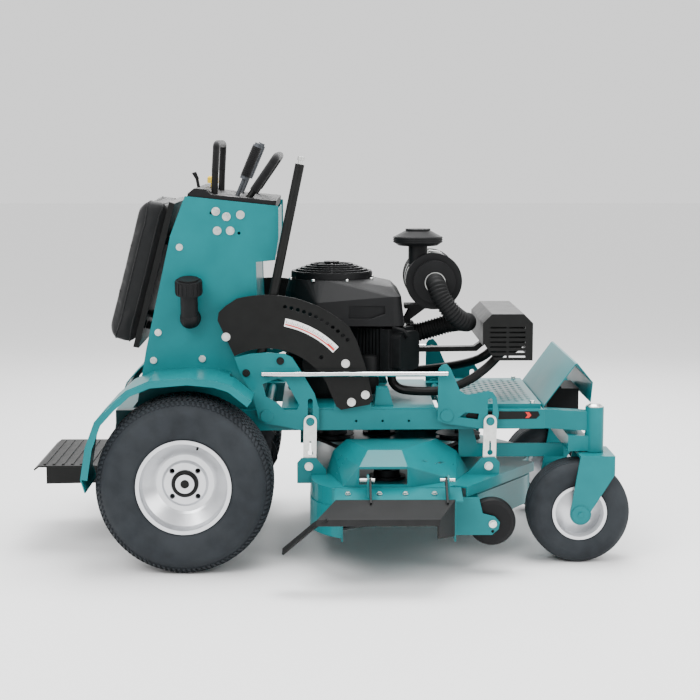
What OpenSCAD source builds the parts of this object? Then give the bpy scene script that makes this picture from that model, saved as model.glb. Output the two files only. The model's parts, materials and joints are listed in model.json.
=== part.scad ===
// Stand-on zero turn mower with a side-discharge deck and a hand lift lever.
// X is forward, Y is to the left, Z is up. Plans and outlines are measured
// from the drive axle, and place() moves them so that the origin lies on the
// ground below the middle of the machine.

/* [Drive wheels] */
// Outside radius of a drive tyre
tyre_r = 279.5; // [260:0.5:300]
// Width of a drive tyre
tyre_w = 241; // [200:1:250]
// Radius where the drive tyre's beads sit
bead_r = 146; // [130:1:160]
// Distance from the centre line to the middle of a drive wheel
track_y = 465; // [455:1:490]
// Pitch circle of the four wheel lug holes
lug_pcd = 114.3; // [100:0.1:130]
// Radius of a lug hole
lug_r = 8.5; // [6:0.1:10]
// Radius of the drive axle
axle_r = 14; // [12:0.1:18]

/* [Casters] */
// Outside radius of a caster tyre
caster_r = 165; // [140:1:170]
// Width of a caster tyre
caster_w = 152; // [120:1:156]
// Radius where the caster tyre's beads sit
caster_bead_r = 84; // [75:1:95]
// Distance of the caster swivel ahead of the drive axle
swivel_x = 1312; // [1290:1:1500]
// Trail of the caster wheel behind its swivel
trail = 53; // [40:1:70]
// Distance from the centre line to the swivel
caster_y = 365; // [350:1:400]
// Radius of the swivel stem
stem_r = 16; // [14:0.1:20]
// Radius of the caster axle
caster_axle_r = 8; // [6:0.1:12]
// Outside radius of the swivel tube
swivel_tube_r = 30; // [25:1:35]

/* [Frame] */
// Height of the top of the frame rails
rail_top = 486; // [480:1:490]
// Height of a frame rail
rail_h = 70; // [60:1:75]
// Distance from the centre line to a rail's outer face
rail_out = 330; // [326:1:332]
// Width of a frame rail
rail_w = 50; // [40:1:55]
// Wall of the frame tubes
tube_wall = 4; // [3:0.5:6]
// Distance of the rails' front end ahead of the drive axle
rail_front = 1156; // [1150:1:1165]
// Radius of the three accessory holes in each rail's outer wall
rail_hole_r = 4; // [3:0.1:6]
// Distance between the two outer accessory holes
rail_hole_pitch = 171; // [120:1:200]

/* [Tower] */
// Distance from the centre line to the tower's outer face
tower_out = 302; // [290:1:306]
// Thickness of the tower's plates
tower_t = 5; // [3:0.5:6]
// Width of the hip pad
pad_w = 500; // [400:5:560]
// Width of the standing platform
platform_w = 500; // [400:5:520]

/* [Deck] */
// Height of the deck's top plate when fully raised
deck_top = 280; // [278:1:284]
// Depth of the deck shell
deck_h = 153; // [140:1:160]
// Distance from the centre line to an outer blade spindle
spindle_y = 415; // [412:1:430]
// Distance of the outer spindles ahead of the drive axle
spindle_x = 640; // [635:1:645]
// Distance of the centre spindle ahead of the drive axle
spindle_front_x = 900; // [890:1:905]
// Radius of the deck wall about each spindle
deck_r = 243; // [238:1:250]
// Length of a blade from its centre to its tip
blade_r = 226; // [200:1:228]
// Thickness of the deck's sheet
deck_t = 5; // [3:0.5:6]
// Radius of a spindle shaft
spindle_r = 12.7; // [10:0.1:15]
// Pitch radius of the belt pulleys
pulley_r = 65; // [60:1:72]

/* [Deck lift] */
// Distance between the rear and the front lift pivot
lift_spacing = 582; // [578:1:590]
// Height of the two lift pivots
lift_z = 470; // [468:1:472]
// Radius of the lift cross shafts
lift_shaft_r = 14; // [12:0.1:15]
// Height of the lift rod's pins above the pivots
rod_arm = 138; // [130:1:150]
// Reach of the lift arms to the deck links
link_arm = 140; // [136:1:142]
// Distance between the two holes of a deck link
link_len = 145; // [141:1:147]
// Radius of the lift rods
rod_r = 8; // [6:0.1:9]
// Radius of the cutting-height holes about the lift pivot
height_r = 358; // [350:1:365]
// Number of cutting-height holes
height_holes = 12; // [8:1:12]

/* [Engine] */
// Distance of the engine's crankshaft ahead of the drive axle
crank_x = 465; // [460:1:470]
// Radius of the engine cowl's fan guard
guard_r = 138; // [120:1:145]
// Radius of the air cleaner canister
canister_r = 90; // [80:1:94]
// Radius of the muffler
muffler_r = 62; // [50:1:68]

/* [Hidden] */
$fn = 48;
// Radial clearance of a running fit
run = 0.05;
// Gap between parts that only rest on each other
seat = 0.3;
lift_x = 254;
lift_front_x = lift_x + lift_spacing;
// Layers beside the right rail, outward from its face
crank_in = rail_out + 14;
crank_t = 8;
crank_out = crank_in + crank_t;
link_in = crank_out + 2;
link_t = 6;
hanger_in = link_in + link_t + 2;
hanger_t = 6;
rod_y = crank_out + 19;
link_drop = 18;
link_top_z = lift_z - link_drop;
link_pin_z = link_top_z - link_len;
pin_shift = 5;
rod_lean = 7;
deck_bottom = deck_top - deck_h;
belt_z = deck_top + 64;
pulley_h = 18;
caster_x = swivel_x - trail;
fork_top = 354;
platform_tip = -520;
platform_pivot = [-232, 256];
chute_pin = [-620, 312];
chute_edge = -806;
x_mid = (platform_tip + caster_x + caster_r) / 2;
y_mid = (chute_edge + spindle_y + deck_r + 4) / 2;

// ---- helpers -------------------------------------------------------------

function unit(v) = v / norm(v);

// Points along a circle's arc, in degrees
function arc(c, r, a0, a1, n) =
    [for (i = [0:n]) let (a = a0 + (a1 - a0) * i / n) c + r * [cos(a), sin(a)]];

// Left-hand mitre of a path at point i
function mitre(p, i) =
    let (last = len(p) - 1,
         u = unit(i == 0 ? p[1] - p[0] : p[i] - p[i - 1]),
         w = unit(i == last ? p[i] - p[i - 1] : p[i + 1] - p[i]),
         m = unit([-(u[1] + w[1]), u[0] + w[0]]))
    m / (m * [-u[1], u[0]]);

// Outline of a bent sheet that lies to the left of a path
function sheet(p, t) = concat(p, [for (i = [len(p) - 1:-1:0]) p[i] + t * mitre(p, i)]);

// Outward normal angle of a counter-clockwise outline's edge i
function edge_angle(p, i) =
    let (d = p[(i + 1) % len(p)] - p[i]) atan2(-d[0], d[1]);

// Counter-clockwise convex outline with a round of radius r about each point
function rounded(p, r, n) = [for (i = [0:len(p) - 1])
    let (a0 = edge_angle(p, (i + len(p) - 1) % len(p)), a1 = edge_angle(p, i),
         turn = (a1 - a0 + 720) % 360)
    for (q = arc(p[i], r, a0, a0 + turn, n)) q];

// A point between p[i] and p[i + 1] on a smooth curve through all of p
function curve_at(p, i, t) =
    let (a = p[max(i - 1, 0)], b = p[i], c = p[i + 1], d = p[min(i + 2, len(p) - 1)])
    0.5 * (2 * b + (c - a) * t + (2 * a - 5 * b + 4 * c - d) * t * t
        + (3 * b - a - 3 * c + d) * t * t * t);

function smooth(p, n) =
    concat([for (i = [0:len(p) - 2]) for (k = [0:n - 1]) curve_at(p, i, k / n)],
        [p[len(p) - 1]]);

function tangent(p, i) =
    unit(i == 0 ? p[1] - p[0] : i == len(p) - 1 ? p[i] - p[i - 1] : p[i + 1] - p[i - 1]);

// Round bar swept along points; up is a direction that the path never takes
module bent_bar(p, r, up, n = 12) {
    rings = [for (i = [0:len(p) - 1])
        let (t = tangent(p, i), a = unit(cross(up, t)), b = cross(t, a))
        for (k = [0:n - 1]) p[i] + r * (cos(360 * k / n) * a + sin(360 * k / n) * b)];
    sides = [for (i = [0:len(p) - 2]) for (k = [0:n - 1]) let (m = (k + 1) % n)
        [i * n + k, (i + 1) * n + k, (i + 1) * n + m, i * n + m]];
    start = [for (k = [0:n - 1]) k];
    end = [for (k = [n - 1:-1:0]) (len(p) - 1) * n + k];
    polyhedron(rings, concat([start], sides, [end]));
}

// Outline in X and Z, drawn from y0 towards +Y
module side_plate(pts, y0, t) {
    translate([0, y0 + t, 0]) rotate([90, 0, 0]) linear_extrude(t) polygon(pts);
}

// Outline in Y and Z, drawn from x0 towards +X
module cross_plate(pts, x0, t) {
    translate([x0, 0, 0]) rotate([90, 0, 90]) linear_extrude(t) polygon(pts);
}

module box(x, y, z) {
    translate([x[0], y[0], z[0]]) cube([x[1] - x[0], y[1] - y[0], z[1] - z[0]]);
}

// Round bar along Y between y0 and y1
module y_bar(x, z, y0, y1, r) {
    translate([x, y1, z]) rotate([90, 0, 0]) cylinder(r = r, h = y1 - y0);
}

// Round bar along X between x0 and x1
module x_bar(x0, x1, y, z, r) {
    translate([x0, y, z]) rotate([0, 90, 0]) cylinder(r = r, h = x1 - x0);
}

// Hexagon head and washer standing out of a right-hand face at y
module side_bolt(x, z, y, size = 9) {
    y_bar(x, z, y - 2, y, size * 1.25);
    translate([x, y - 2, z]) rotate([90, 0, 0]) cylinder(r = size, h = size * 0.7, $fn = 6);
}

// Hexagon head and washer standing on a flat top at z
module top_bolt(x, y, z, size = 8) {
    translate([x, y, z]) cylinder(r = size * 1.25, h = 2);
    translate([x, y, z + 2]) cylinder(r = size, h = size * 0.7, $fn = 6);
}

module both_sides() {
    children();
    mirror([0, 1, 0]) children();
}

module place() {
    translate([-x_mid, -y_mid, 0]) children();
}

// ---- frame ---------------------------------------------------------------

rail_rear = -236;
rail_low_front = rail_top - rail_h + 7;
rail_outline = [[rail_rear, rail_top - rail_h], [rail_front, rail_low_front],
    [rail_front, rail_top], [rail_rear, rail_top]];
rail_core = [[rail_rear - 1, rail_top - rail_h + tube_wall],
    [rail_front + 1, rail_low_front + tube_wall],
    [rail_front + 1, rail_top - tube_wall], [rail_rear - 1, rail_top - tube_wall]];
rail_hole_x = 543;
rail_hole_z = 449;

module frame_rails() {
    color("#138a92") place() both_sides() difference() {
        side_plate(rail_outline, -rail_out, rail_w);
        side_plate(rail_core, -rail_out + tube_wall, rail_w - 2 * tube_wall);
        for (x = [lift_x, lift_front_x])
            y_bar(x, lift_z, -rail_out - 1, -rail_out + rail_w + 1, lift_shaft_r + run);
        for (x = [0, rail_hole_pitch / 2, rail_hole_pitch])
            y_bar(rail_hole_x + x, rail_hole_z, -rail_out - 1, -rail_out + tube_wall + 1,
                rail_hole_r);
    }
}

engine_plate_t = 6;
beam_x = [1225, 1283];
beam_z = [358, 408];
lower_rail_y = -284;

module frame_crossmembers() {
    rail_in = rail_out - rail_w;
    color("#138a92") place() {
        // Front cross tube between the rails
        difference() {
            box([1096, rail_front], [-rail_in, rail_in], [428, rail_top]);
            box([1096 + tube_wall, rail_front - tube_wall], [-rail_in - 1, rail_in + 1],
                [428 + tube_wall, rail_top - tube_wall]);
        }
        // Axle beam between the caster tubes
        difference() {
            box(beam_x, [-caster_y + 36, caster_y - 36], beam_z);
            box([beam_x[0] + tube_wall, beam_x[1] - tube_wall], [-caster_y, caster_y],
                [beam_z[0] + tube_wall, beam_z[1] - tube_wall]);
        }
        // Lower rails from the axle beam back to their hangers
        both_sides() {
            box([880, beam_x[0]], [lower_rail_y, lower_rail_y + 12], [322, 366]);
            side_plate([[880, 366], [940, 366], [925, 421], [880, 419]], lower_rail_y, 12);
        }
        // Rear cross tube
        difference() {
            box([rail_rear, -186], [-rail_in, rail_in], [416, rail_top]);
            box([rail_rear + tube_wall, -186 - tube_wall], [-rail_in - 1, rail_in + 1],
                [416 + tube_wall, rail_top - tube_wall]);
        }
        // Drop plates that carry the platform's pins
        both_sides() difference() {
            side_plate([[-252, 236], [-186, 236], [-186, 416], [-236, 416], [-252, 300]],
                -278, 8);
            y_bar(platform_pivot[0], platform_pivot[1], -279, -269, 8 + run);
        }
        // Engine plate and its mounts
        difference() {
            box([300, 800], [-rail_out + 4, rail_out - 4], [rail_top, rail_top + engine_plate_t]);
            translate([crank_x, 0, rail_top - 1]) cylinder(r = 60, h = engine_plate_t + 2);
        }
        both_sides() side_plate([[602, rail_top + engine_plate_t],
            [665, rail_top + engine_plate_t], [648, 551], [609, 551]], -300, 60);
        // Backing plates of the height selector
        both_sides() side_plate([[470, rail_top], [592, rail_top], [582, 580], [566, 640],
            [540, 660], [490, 660], [474, 560]], -rail_out, 8);
    }
}

module caster_arms() {
    a = [rail_front, -rail_out];
    b = [swivel_x - 20, -caster_y - 16];
    plan = [a, b, b + [0, 46], a + [0, rail_w]];
    core = [a + [-1, tube_wall], b + [0, tube_wall], b + [0, 42], a + [-1, rail_w - tube_wall]];
    color("#138a92") place() both_sides() difference() {
        union() {
            translate([0, 0, 424]) linear_extrude(rail_top - 424) polygon(plan);
            box([beam_x[0], swivel_x], [-caster_y - 20, -caster_y + 36], beam_z);
            translate([swivel_x, -caster_y, fork_top + 1.3])
                cylinder(r = swivel_tube_r, h = 500 - fork_top - 1.3);
        }
        difference() {
            translate([0, 0, 424 + tube_wall])
                linear_extrude(rail_top - 424 - 2 * tube_wall) polygon(core);
            translate([swivel_x, -caster_y, 0]) cylinder(r = swivel_tube_r, h = 600);
        }
        translate([swivel_x, -caster_y, 300]) cylinder(r = stem_r + run, h = 300);
    }
}

// ---- tower ---------------------------------------------------------------

// Rear edge of the tower from the top down
tower_rear = [[-7, 1176], [-55, 1050], [-138, 679], [-172, rail_top]];
tower_front = [[236, rail_top], [222, 880], [220, 964], [282, 970], [293, 1044], [293, 1144]];
fuel_neck = [7, 783];
fuel_tilt = 12;
fuel_stub = -336;

module tower_sides() {
    color("#138a92") place() both_sides() difference() {
        side_plate(concat(tower_rear, tower_front), -tower_out, tower_t);
        y_bar(fuel_neck[0], fuel_neck[1], -tower_out - 1, -tower_out + tower_t + 1, 34);
        for (p = [[77, 1122], [166, 1057]])
            y_bar(p[0], p[1], -tower_out - 1, -tower_out + tower_t + 1, 5);
    }
}

module tower_panels() {
    y0 = -tower_out + tower_t;
    w = 2 * (tower_out - tower_t);
    color("#138a92") place() {
        // Rear panel with its top turned under the console
        side_plate(sheet([[-172, rail_top + 1], [-138, 679], [-55, 1050], [-14, 1156]], -4), y0, w);
        // Front panel, shelf and nose
        side_plate(sheet([[234, rail_top + 1], [220, 880], [218, 966], [278, 972], [289, 1044],
            [289, 1128]], 4), y0, w);
    }
}

module console() {
    top = [[-2, 1160], [2, 1184], [22, 1200], [58, 1198], [78, 1180], [286, 1160], [284, 1134],
        [60, 1150]];
    y0 = -tower_out + tower_t + seat;
    color("#15171a") place() difference() {
        side_plate(top, y0, -2 * y0);
        for (y = [-150, 150]) box([118, 202], [y - 14, y + 14], [1120, 1210]);
        box([-6, 52], [-118, -106], [1189.7, 1210]);
        // Sockets of the reference bars
        for (y = [-190, 190]) translate([81, y, 1164]) cylinder(r = 11 + seat, h = 60);
        for (y = [-215, 215]) translate([196, y, 1169]) rotate([0, 34.2, 0])
            translate([0, 0, -14]) cylinder(r = 11 + seat, h = 60);
        translate([64, 0, 1120]) cylinder(r = 8 + run, h = 100);
    }
}

fender_path = [[-308, 262], [-321, 304], [-305, 404], [-275, 486], [-228, 538], [-175, 585],
    [-106, 614], [14, 624], [100, 616], [152, 600], [214, 550]];
fender_out = 566;

module fenders() {
    color("#138a92") place() both_sides() difference() {
        union() {
            side_plate(sheet(fender_path, -4), -fender_out, fender_out - tower_out);
            side_plate(sheet([for (i = [1:len(fender_path) - 1]) fender_path[i] - 4.2
                * mitre(fender_path, i)], -18), -fender_out, 4);
        }
        // Room for the lift cranks
        box([136, 260], [-rod_y - 14, -tower_out + 1], [500, 700]);
    }
}

pad_front = [[-146, 1168], [-267, 706], [-187, 682], [-62, 1160]];

module hip_pad() {
    board = [[-62.7, 1156], [-186.7, 682], [-168, 678], [-44, 1150]];
    color("#101113") place() {
        side_plate(pad_front, -pad_w / 2, pad_w);
        side_plate(board, -pad_w / 2 + 6, pad_w - 12);
        // Rubber mounts between the board and the tower
        for (y = [-170, 140]) {
            side_plate([[-145, 760], [-152, 735], [-127, 730], [-122, 753]], y, 30);
            side_plate([[-72, 1040], [-80, 1010], [-66, 1006], [-59, 1036]], y, 30);
        }
    }
}

neck_axis = [0, -sin(fuel_tilt), cos(fuel_tilt)];
neck_start = [fuel_neck[0], fuel_stub, fuel_neck[1]];
neck_len = 100;

module fuel_tank() {
    color("#1b1d20") place() {
        side_plate([[-120, 520], [190, 520], [190, 800], [150, 830], [-40, 830], [-75, 800]],
            -tower_out + tower_t + seat, 2 * (tower_out - tower_t - seat));
        y_bar(fuel_neck[0], fuel_neck[1], fuel_stub, -tower_out + tower_t + 4, 30);
        translate(neck_start) sphere(r = 31);
        translate(neck_start + 10 * neck_axis) rotate([fuel_tilt, 0, 0])
            cylinder(r = 28, h = neck_len - 10);
    }
}

module fuel_cap() {
    color("#17181a") place() translate(neck_start + (neck_len - 16) * neck_axis)
        rotate([fuel_tilt, 0, 0]) difference() {
        union() {
            cylinder(r = 42, h = 46);
            translate([0, 0, 46]) cylinder(r = 33, h = 6);
            for (a = [0:20:340]) rotate([0, 0, a]) box([40, 44], [-3.5, 3.5], [4, 42]);
        }
        translate([0, 0, -1]) cylinder(r = 28 + run, h = 17 + seat);
    }
}

module reference_bars() {
    color("#0f1012") place() {
        bent_bar(smooth([[81, -190, 1165], [84, -190, 1250], [88, -188, 1318], [89, -168, 1340],
            [89, 0, 1342], [89, 168, 1340], [88, 188, 1318], [84, 190, 1250], [81, 190, 1165]], 4),
            11, [1, 0, 0]);
        bent_bar(smooth([[190, -215, 1160], [232, -215, 1222], [268, -213, 1274],
            [284, -190, 1298], [286, 0, 1300], [284, 190, 1298], [268, 213, 1274],
            [232, 215, 1222], [190, 215, 1160]], 4), 11, unit([1, 0, -0.72]));
        // Rod that the control levers turn on
        y_bar(lever_pivot[0], lever_pivot[1], -tower_out + tower_t + seat,
            tower_out - tower_t - seat, 6);
    }
}

// ---- engine --------------------------------------------------------------

block_z = rail_top + engine_plate_t;
head_a = 38;

module cylinder_head(side) {
    translate([crank_x, 0, 0]) rotate([0, 0, side * head_a]) difference() {
        box([100, 292], [-72, 72], [588, 736]);
        for (x = [166:14:250]) {
            box([x, x + 6], [-90, -44], [580, 750]);
            box([x, x + 6], [44, 90], [580, 750]);
        }
    }
}

module engine_block() {
    color("#1d2023") place() {
        difference() {
            union() {
                translate([crank_x, 0, block_z]) cylinder(r = 128, h = 18);
                translate([crank_x, 0, block_z + 18])
                    cylinder(r = 150, h = cowl_z[0] - seat - block_z - 18);
                // Intake manifold between the heads
                box([560, 690], [-45, 45], [662, 735]);
                cylinder_head(-1);
                cylinder_head(1);
            }
            translate([crank_x, 0, 400]) cylinder(r = 15 + run, h = 140);
        }
        // Rocker covers
        for (s = [-1, 1]) translate([crank_x, 0, 0]) rotate([0, 0, s * head_a])
            translate([292, 0, 662]) rotate([0, 90, 0])
            linear_extrude(34) polygon(rounded([[-44, -36], [44, -36], [44, 36], [-44, 36]], 20, 4));
        // Oil filter
        translate([crank_x - 60, -142, 620]) rotate([90, 0, 0]) cylinder(r = 38, h = 86);
    }
}

cowl_z = [746, 880];

module engine_cowl() {
    color("#1e2124") place() difference() {
        hull() {
            translate([crank_x, 0, cowl_z[0]]) cylinder(r = 156, h = 100, $fn = 40);
            translate([crank_x, 0, cowl_z[1]]) cylinder(r = 144, h = 10, $fn = 40);
            for (s = [-1, 1]) translate([660, s * 178, cowl_z[0]])
                cylinder(r1 = 46, r2 = 34, h = 96, $fn = 32);
            for (s = [-1, 1]) translate([640, s * 120, cowl_z[0] + 96])
                cylinder(r1 = 40, r2 = 28, h = 28, $fn = 32);
            for (s = [-1, 1]) translate([430, s * 170, cowl_z[0]])
                cylinder(r1 = 44, r2 = 30, h = 76, $fn = 32);
        }
        for (s = [-1, 1]) translate([0, s * 213, 0])
            box([520, 640], [-5, 5], [770, 812]);
    }
}

module fan_guard() {
    z0 = cowl_z[1] + 10 + seat;
    color("#0e0f10") place() translate([crank_x, 0, z0]) {
        difference() {
            cylinder(r = guard_r, h = 20);
            translate([0, 0, 4]) cylinder(r = guard_r - 8, h = 20);
        }
        // Concentric guard rings, stepped up towards the middle
        for (i = [0:4]) translate([0, 0, 18 + 6 * i]) difference() {
            cylinder(r = guard_r - 2 - 16 * i, h = 6);
            translate([0, 0, -1]) cylinder(r = guard_r - 12 - 16 * i, h = 8);
        }
        for (a = [0:45:315]) rotate([0, 0, a]) side_plate([[20, 50], [58, 49],
            [guard_r - 5, 21], [guard_r - 5, 10], [50, 34], [20, 34]], -3, 6);
        translate([0, 0, 32]) cylinder(r = 26, h = 23);
    }
}

canister_c = [806, 886];
canister_y = [-150, 170];

module air_cleaner() {
    color("#16181a") place() {
        y_bar(canister_c[0], canister_c[1], canister_y[0] + 40, canister_y[1], canister_r);
        y_bar(canister_c[0], canister_c[1], canister_y[0] + 26, canister_y[0] + 40,
            canister_r + 4);
        y_bar(canister_c[0], canister_c[1], canister_y[0], canister_y[0] + 26, 70);
        // Intake stack that carries the pre-cleaner
        translate([755, -56, 930]) cylinder(r = 32, h = 72);
        // Saddle between the engine and the canister
        box([712, 860], [-42, 42], [786, 800]);
        for (y = [-42, 36]) side_plate([[648, 735 + seat], [712, 735 + seat], [780, 786],
            [730, 786], [709, cowl_z[0] - 0.5], [648, cowl_z[0] - 0.5]], y, 6);
    }
}

module precleaner() {
    color("#17191b") place() translate([755, -56, 0]) {
        translate([0, 0, 1002 + seat]) cylinder(r1 = 66, r2 = 80, h = 10, $fn = 48);
        translate([0, 0, 1012 + seat]) cylinder(r = 82, h = 20);
        translate([0, 0, 1032 + seat]) cylinder(r1 = 80, r2 = 46, h = 18, $fn = 48);
        translate([0, 0, 1050 + seat]) cylinder(r = 42, h = 8);
    }
}

module intake_hose() {
    path = concat([[808, canister_y[0] - seat, 884]], smooth([[808, -166, 884],
        [812, -188, 874], [826, -205, 838], [862, -207, 788], [896, -185, 760],
        [916, -130, 750], [908, -60, 744], [876, -14, 736], [820, 0, 718], [760, 0, 702],
        [700, 0, 700]], 4), [[690 + seat, 0, 700]]);
    color("#111214") place() bent_bar(path, 33, unit([0.35, -0.2, 1]));
}

muffler_c = [1044, 708];

module exhaust() {
    color("#141517") place() {
        y_bar(muffler_c[0], muffler_c[1], -190, 200, muffler_r);
        bent_bar(concat([[662, -165, 587.7]], smooth([[662, -165, 580], [668, -172, 552], [690, -185, 534],
            [730, -196, 528], [800, -206, 528], [860, -205, 538], [930, -190, 568],
            [985, -170, 606], [1022, -150, 640], [1036, -142, 652]], 3)), 15, [0, 1, 0]);
        bent_bar(concat([[662, 165, 587.7]], smooth([[662, 165, 580], [668, 172, 556], [694, 182, 544],
            [760, 180, 546], [850, 150, 560], [920, 80, 582], [975, 20, 608], [1018, 0, 642],
            [1032, 0, 652]], 3)), 15, unit([0.3, 1, 0.2]));
        // Bracket from the crankcase to the muffler
        side_plate([[crank_x + 150 + seat, 650], [crank_x + 150 + seat, 634], [960, 638],
            [1004, 676], [998, 688], [950, 654]], -20, 40);
    }
}

module muffler_guard() {
    x = [962, 1127];
    y = [-225, 232];
    z = [632, 786];
    t = 3;
    color("#0d0e0c") place() difference() {
        union() {
            side_plate(sheet([[x[1], z[0]], [x[1], z[1] - 30], [x[1] - 30, z[1]],
                [x[0] + 30, z[1]], [x[0], z[1] - 30], [x[0], z[0] + 50]], t), y[0], y[1] - y[0]);
            for (e = y) side_plate([[x[1] - 1, z[0]], [x[1] - 1, z[1] - 32],
                [x[1] - 32, z[1] - 1], [x[0] + 32, z[1] - 1],
                [x[0] + 1, z[1] - 32], [x[0] + 1, z[0] + 60], [x[0] + 40, z[0]]],
                e < 0 ? e : e - t, t);
            // Straps that hold the guard on the muffler
            for (e = [-150, 150]) side_plate([[x[1] - t, 690], [x[1] - t, 726],
                [muffler_c[0] + muffler_r + seat, 726], [muffler_c[0] + muffler_r + seat, 690]],
                e - 10, 20);
        }
        for (i = [0:8]) for (j = [0:3])
            box([x[1] - 6, x[1] + 2], [y[0] + 18 + 108 * j, y[0] + 108 + 108 * j],
                [z[0] + 6 + 13 * i, z[0] + 12 + 13 * i]);
        for (i = [0:6]) for (j = [0:1])
            box([x[0] + 24 + 62 * j, x[0] + 78 + 62 * j], [y[0] - 2, y[0] + t + 2],
                [z[0] + 10 + 16 * i, z[0] + 16 + 16 * i]);
    }
}

// ---- front ---------------------------------------------------------------

cover_path = [[1152, rail_top + 2.4], [1258, 632], [1264, 633], [1316, 570], [1310, 505]];

module front_cover() {
    color("#2f9aa1") place() difference() {
        side_plate(sheet(cover_path, -3), -300, 600);
        for (y = [-260:90:190])
            translate([1290, y, 600]) rotate([0, 50, 0]) box([-34, 20], [0, 60], [-12, 12]);
    }
}

module battery() {
    z0 = beam_z[1] + seat;
    color("#222528") place() {
        box([1194, 1300], [-98, 98], [z0, 520]);
        for (y = [-70, 70]) box([1202, 1220], [y - 9, y + 9], [520, 530]);
        box([1228, 1240], [-104, 104], [520.5, 528]);
    }
}

foot_x = [862, 1147];

module foot_plate() {
    flange = 10;
    w = rail_out - 30;
    color("#138a92") place() {
        difference() {
            box(foot_x, [-w, w], [rail_top + flange, rail_top + flange + 4]);
            for (i = [0:5]) for (j = [0:11])
                translate([foot_x[0] + 34 + 44 * i, -242 + 44 * j, rail_top])
                    rotate([0, 0, 45]) cube([15, 15, 60], center = true);
            for (i = [0:4]) for (j = [0:10])
                translate([foot_x[0] + 56 + 44 * i, -220 + 44 * j, rail_top])
                    rotate([0, 0, 45]) cube([15, 15, 60], center = true);
        }
        both_sides() box(foot_x, [-w, -w + 4], [rail_top, rail_top + flange]);
    }
}

// ---- height selector -----------------------------------------------------

selector_y = crank_in + 1;
selector_in = 220;
selector_out = 392;

// A point at a radius and an angle forward of straight up from the lift pivot
function about_pivot(r, a) = [lift_x + r * sin(a), lift_z + r * cos(a)];

function selector_arc(r, a0, a1, n) =
    [for (i = [0:n]) about_pivot(r, a0 + (a1 - a0) * i / n)];

module height_selector() {
    outline = concat(selector_arc(selector_in, -28, 60, 22), [[478, 500], [494, 489],
        [586, 506], [596, 526], [580, 602], [560, 667], [544, 714]],
        selector_arc(selector_out, 43, -14, 20), [[125, 828], [101, 806], [97, 780]]);
    color("#0c0d0b") place() both_sides() {
        difference() {
            side_plate(outline, -selector_y - 5, 5);
            for (i = [0:height_holes - 1]) {
                p = about_pivot(height_r, 9.6 + 37 * i / (height_holes - 1));
                y_bar(p[0], p[1], -selector_y - 6, -selector_y + 1, 6.5);
            }
            y_bar(430, 660, -selector_y - 6, -selector_y + 1, 7);
        }
        // Spacers to the tower and to the backing plate
        y_bar(124, 727, -selector_y, -tower_out, 12);
        for (p = [[508, 640], [527, 514], [572, 538]])
            y_bar(p[0], p[1], -selector_y, -rail_out, 10);
    }
}

// ---- transaxles ----------------------------------------------------------

module transaxles() {
    rail_in = rail_out - rail_w;
    color("#2a2d30") place() both_sides() {
        side_plate([[-90, 200], [90, 200], [130, 250], [130, 360], [90, 392], [-90, 392],
            [-120, 350], [-120, 240]], -rail_in + 14, 174);
        side_plate([[-100, 232], [120, 232], [120, 470], [-100, 470]], -rail_in, 14);
        y_bar(0, tyre_r, -400, -rail_in, 42);
        y_bar(0, tyre_r, -track_y - 46, -400, axle_r);
        // Pump and its input pulley
        translate([60, -180, 392]) cylinder(r = 45, h = 30);
        translate([60, -180, 422]) cylinder(r = 10, h = 40);
        // Hoses and linkage ahead of the pump
        bent_bar(smooth([[130, -225, 330], [200, -235, 322], [250, -240, 270], [262, -240, 220],
            [230, -235, 196], [160, -225, 215], [110, -215, 240]], 3), 9, [0, 1, 0]);
        y_bar(255, 392, -270, -236, 20);
        side_plate([[246, 300], [264, 300], [264, 413], [246, 413]], -276, 10);
        side_plate([[120, 394], [264, 394], [264, 413], [120, 413]], -276, 10);
    }
}

// ---- bolts on the chassis ------------------------------------------------

module chassis_bolts() {
    color("#c9ccc6") place() {
        both_sides() {
            for (p = [[92, 1127], [126, 1110], [171, 1116], [96, 1065], [138, 1065]])
                side_bolt(p[0], p[1], -tower_out, 11);
            for (p = [[-114, 645], [44, 650], [-26, 1012], [-98, 736]])
                side_bolt(p[0], p[1], -tower_out, 9);
            for (p = [[124, 727], [508, 640], [527, 514], [572, 538]])
                side_bolt(p[0], p[1], -selector_y - 5, 11);
            for (x = [900, 1120]) top_bolt(x, -rail_out + 46, rail_top + 14, 8);
            // Grease caps on the swivel tubes
            translate([swivel_x, -caster_y, 500]) cylinder(r = 27, h = 4);
            translate([swivel_x, -caster_y, 504]) cylinder(r1 = 24, r2 = 16, h = 6);
        }
    }
}

// ---- wheels --------------------------------------------------------------

// Half of a tyre's section: share of its height, share of its half width
TYRE = [[0, 0.8], [0.17, 0.93], [0.45, 1], [0.7, 0.965], [0.87, 0.83], [0.975, 0.65], [1, 0.33]];

function half_section(r0, r1, hw) = [for (s = TYRE) [r0 + s[0] * (r1 - r0), s[1] * hw]];

function flip(p) = [for (i = [len(p) - 1:-1:0]) [p[i][0], -p[i][1]]];

module tyre(r0, r1, hw, wall) {
    outer = half_section(r0, r1, hw);
    inner = half_section(r0, r1 - wall, hw - wall);
    rotate([90, 0, 0]) rotate_extrude($fn = 96)
        polygon(concat(outer, flip(outer), [for (i = [0:len(inner) - 1]) [inner[i][0],
            -inner[i][1]]], [for (i = [len(inner) - 1:-1:0]) inner[i]]));
}

module drive_tyre() {
    color("#26292c") place() translate([0, -track_y, tyre_r])
        tyre(bead_r, tyre_r, tyre_w / 2, 11);
}

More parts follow.
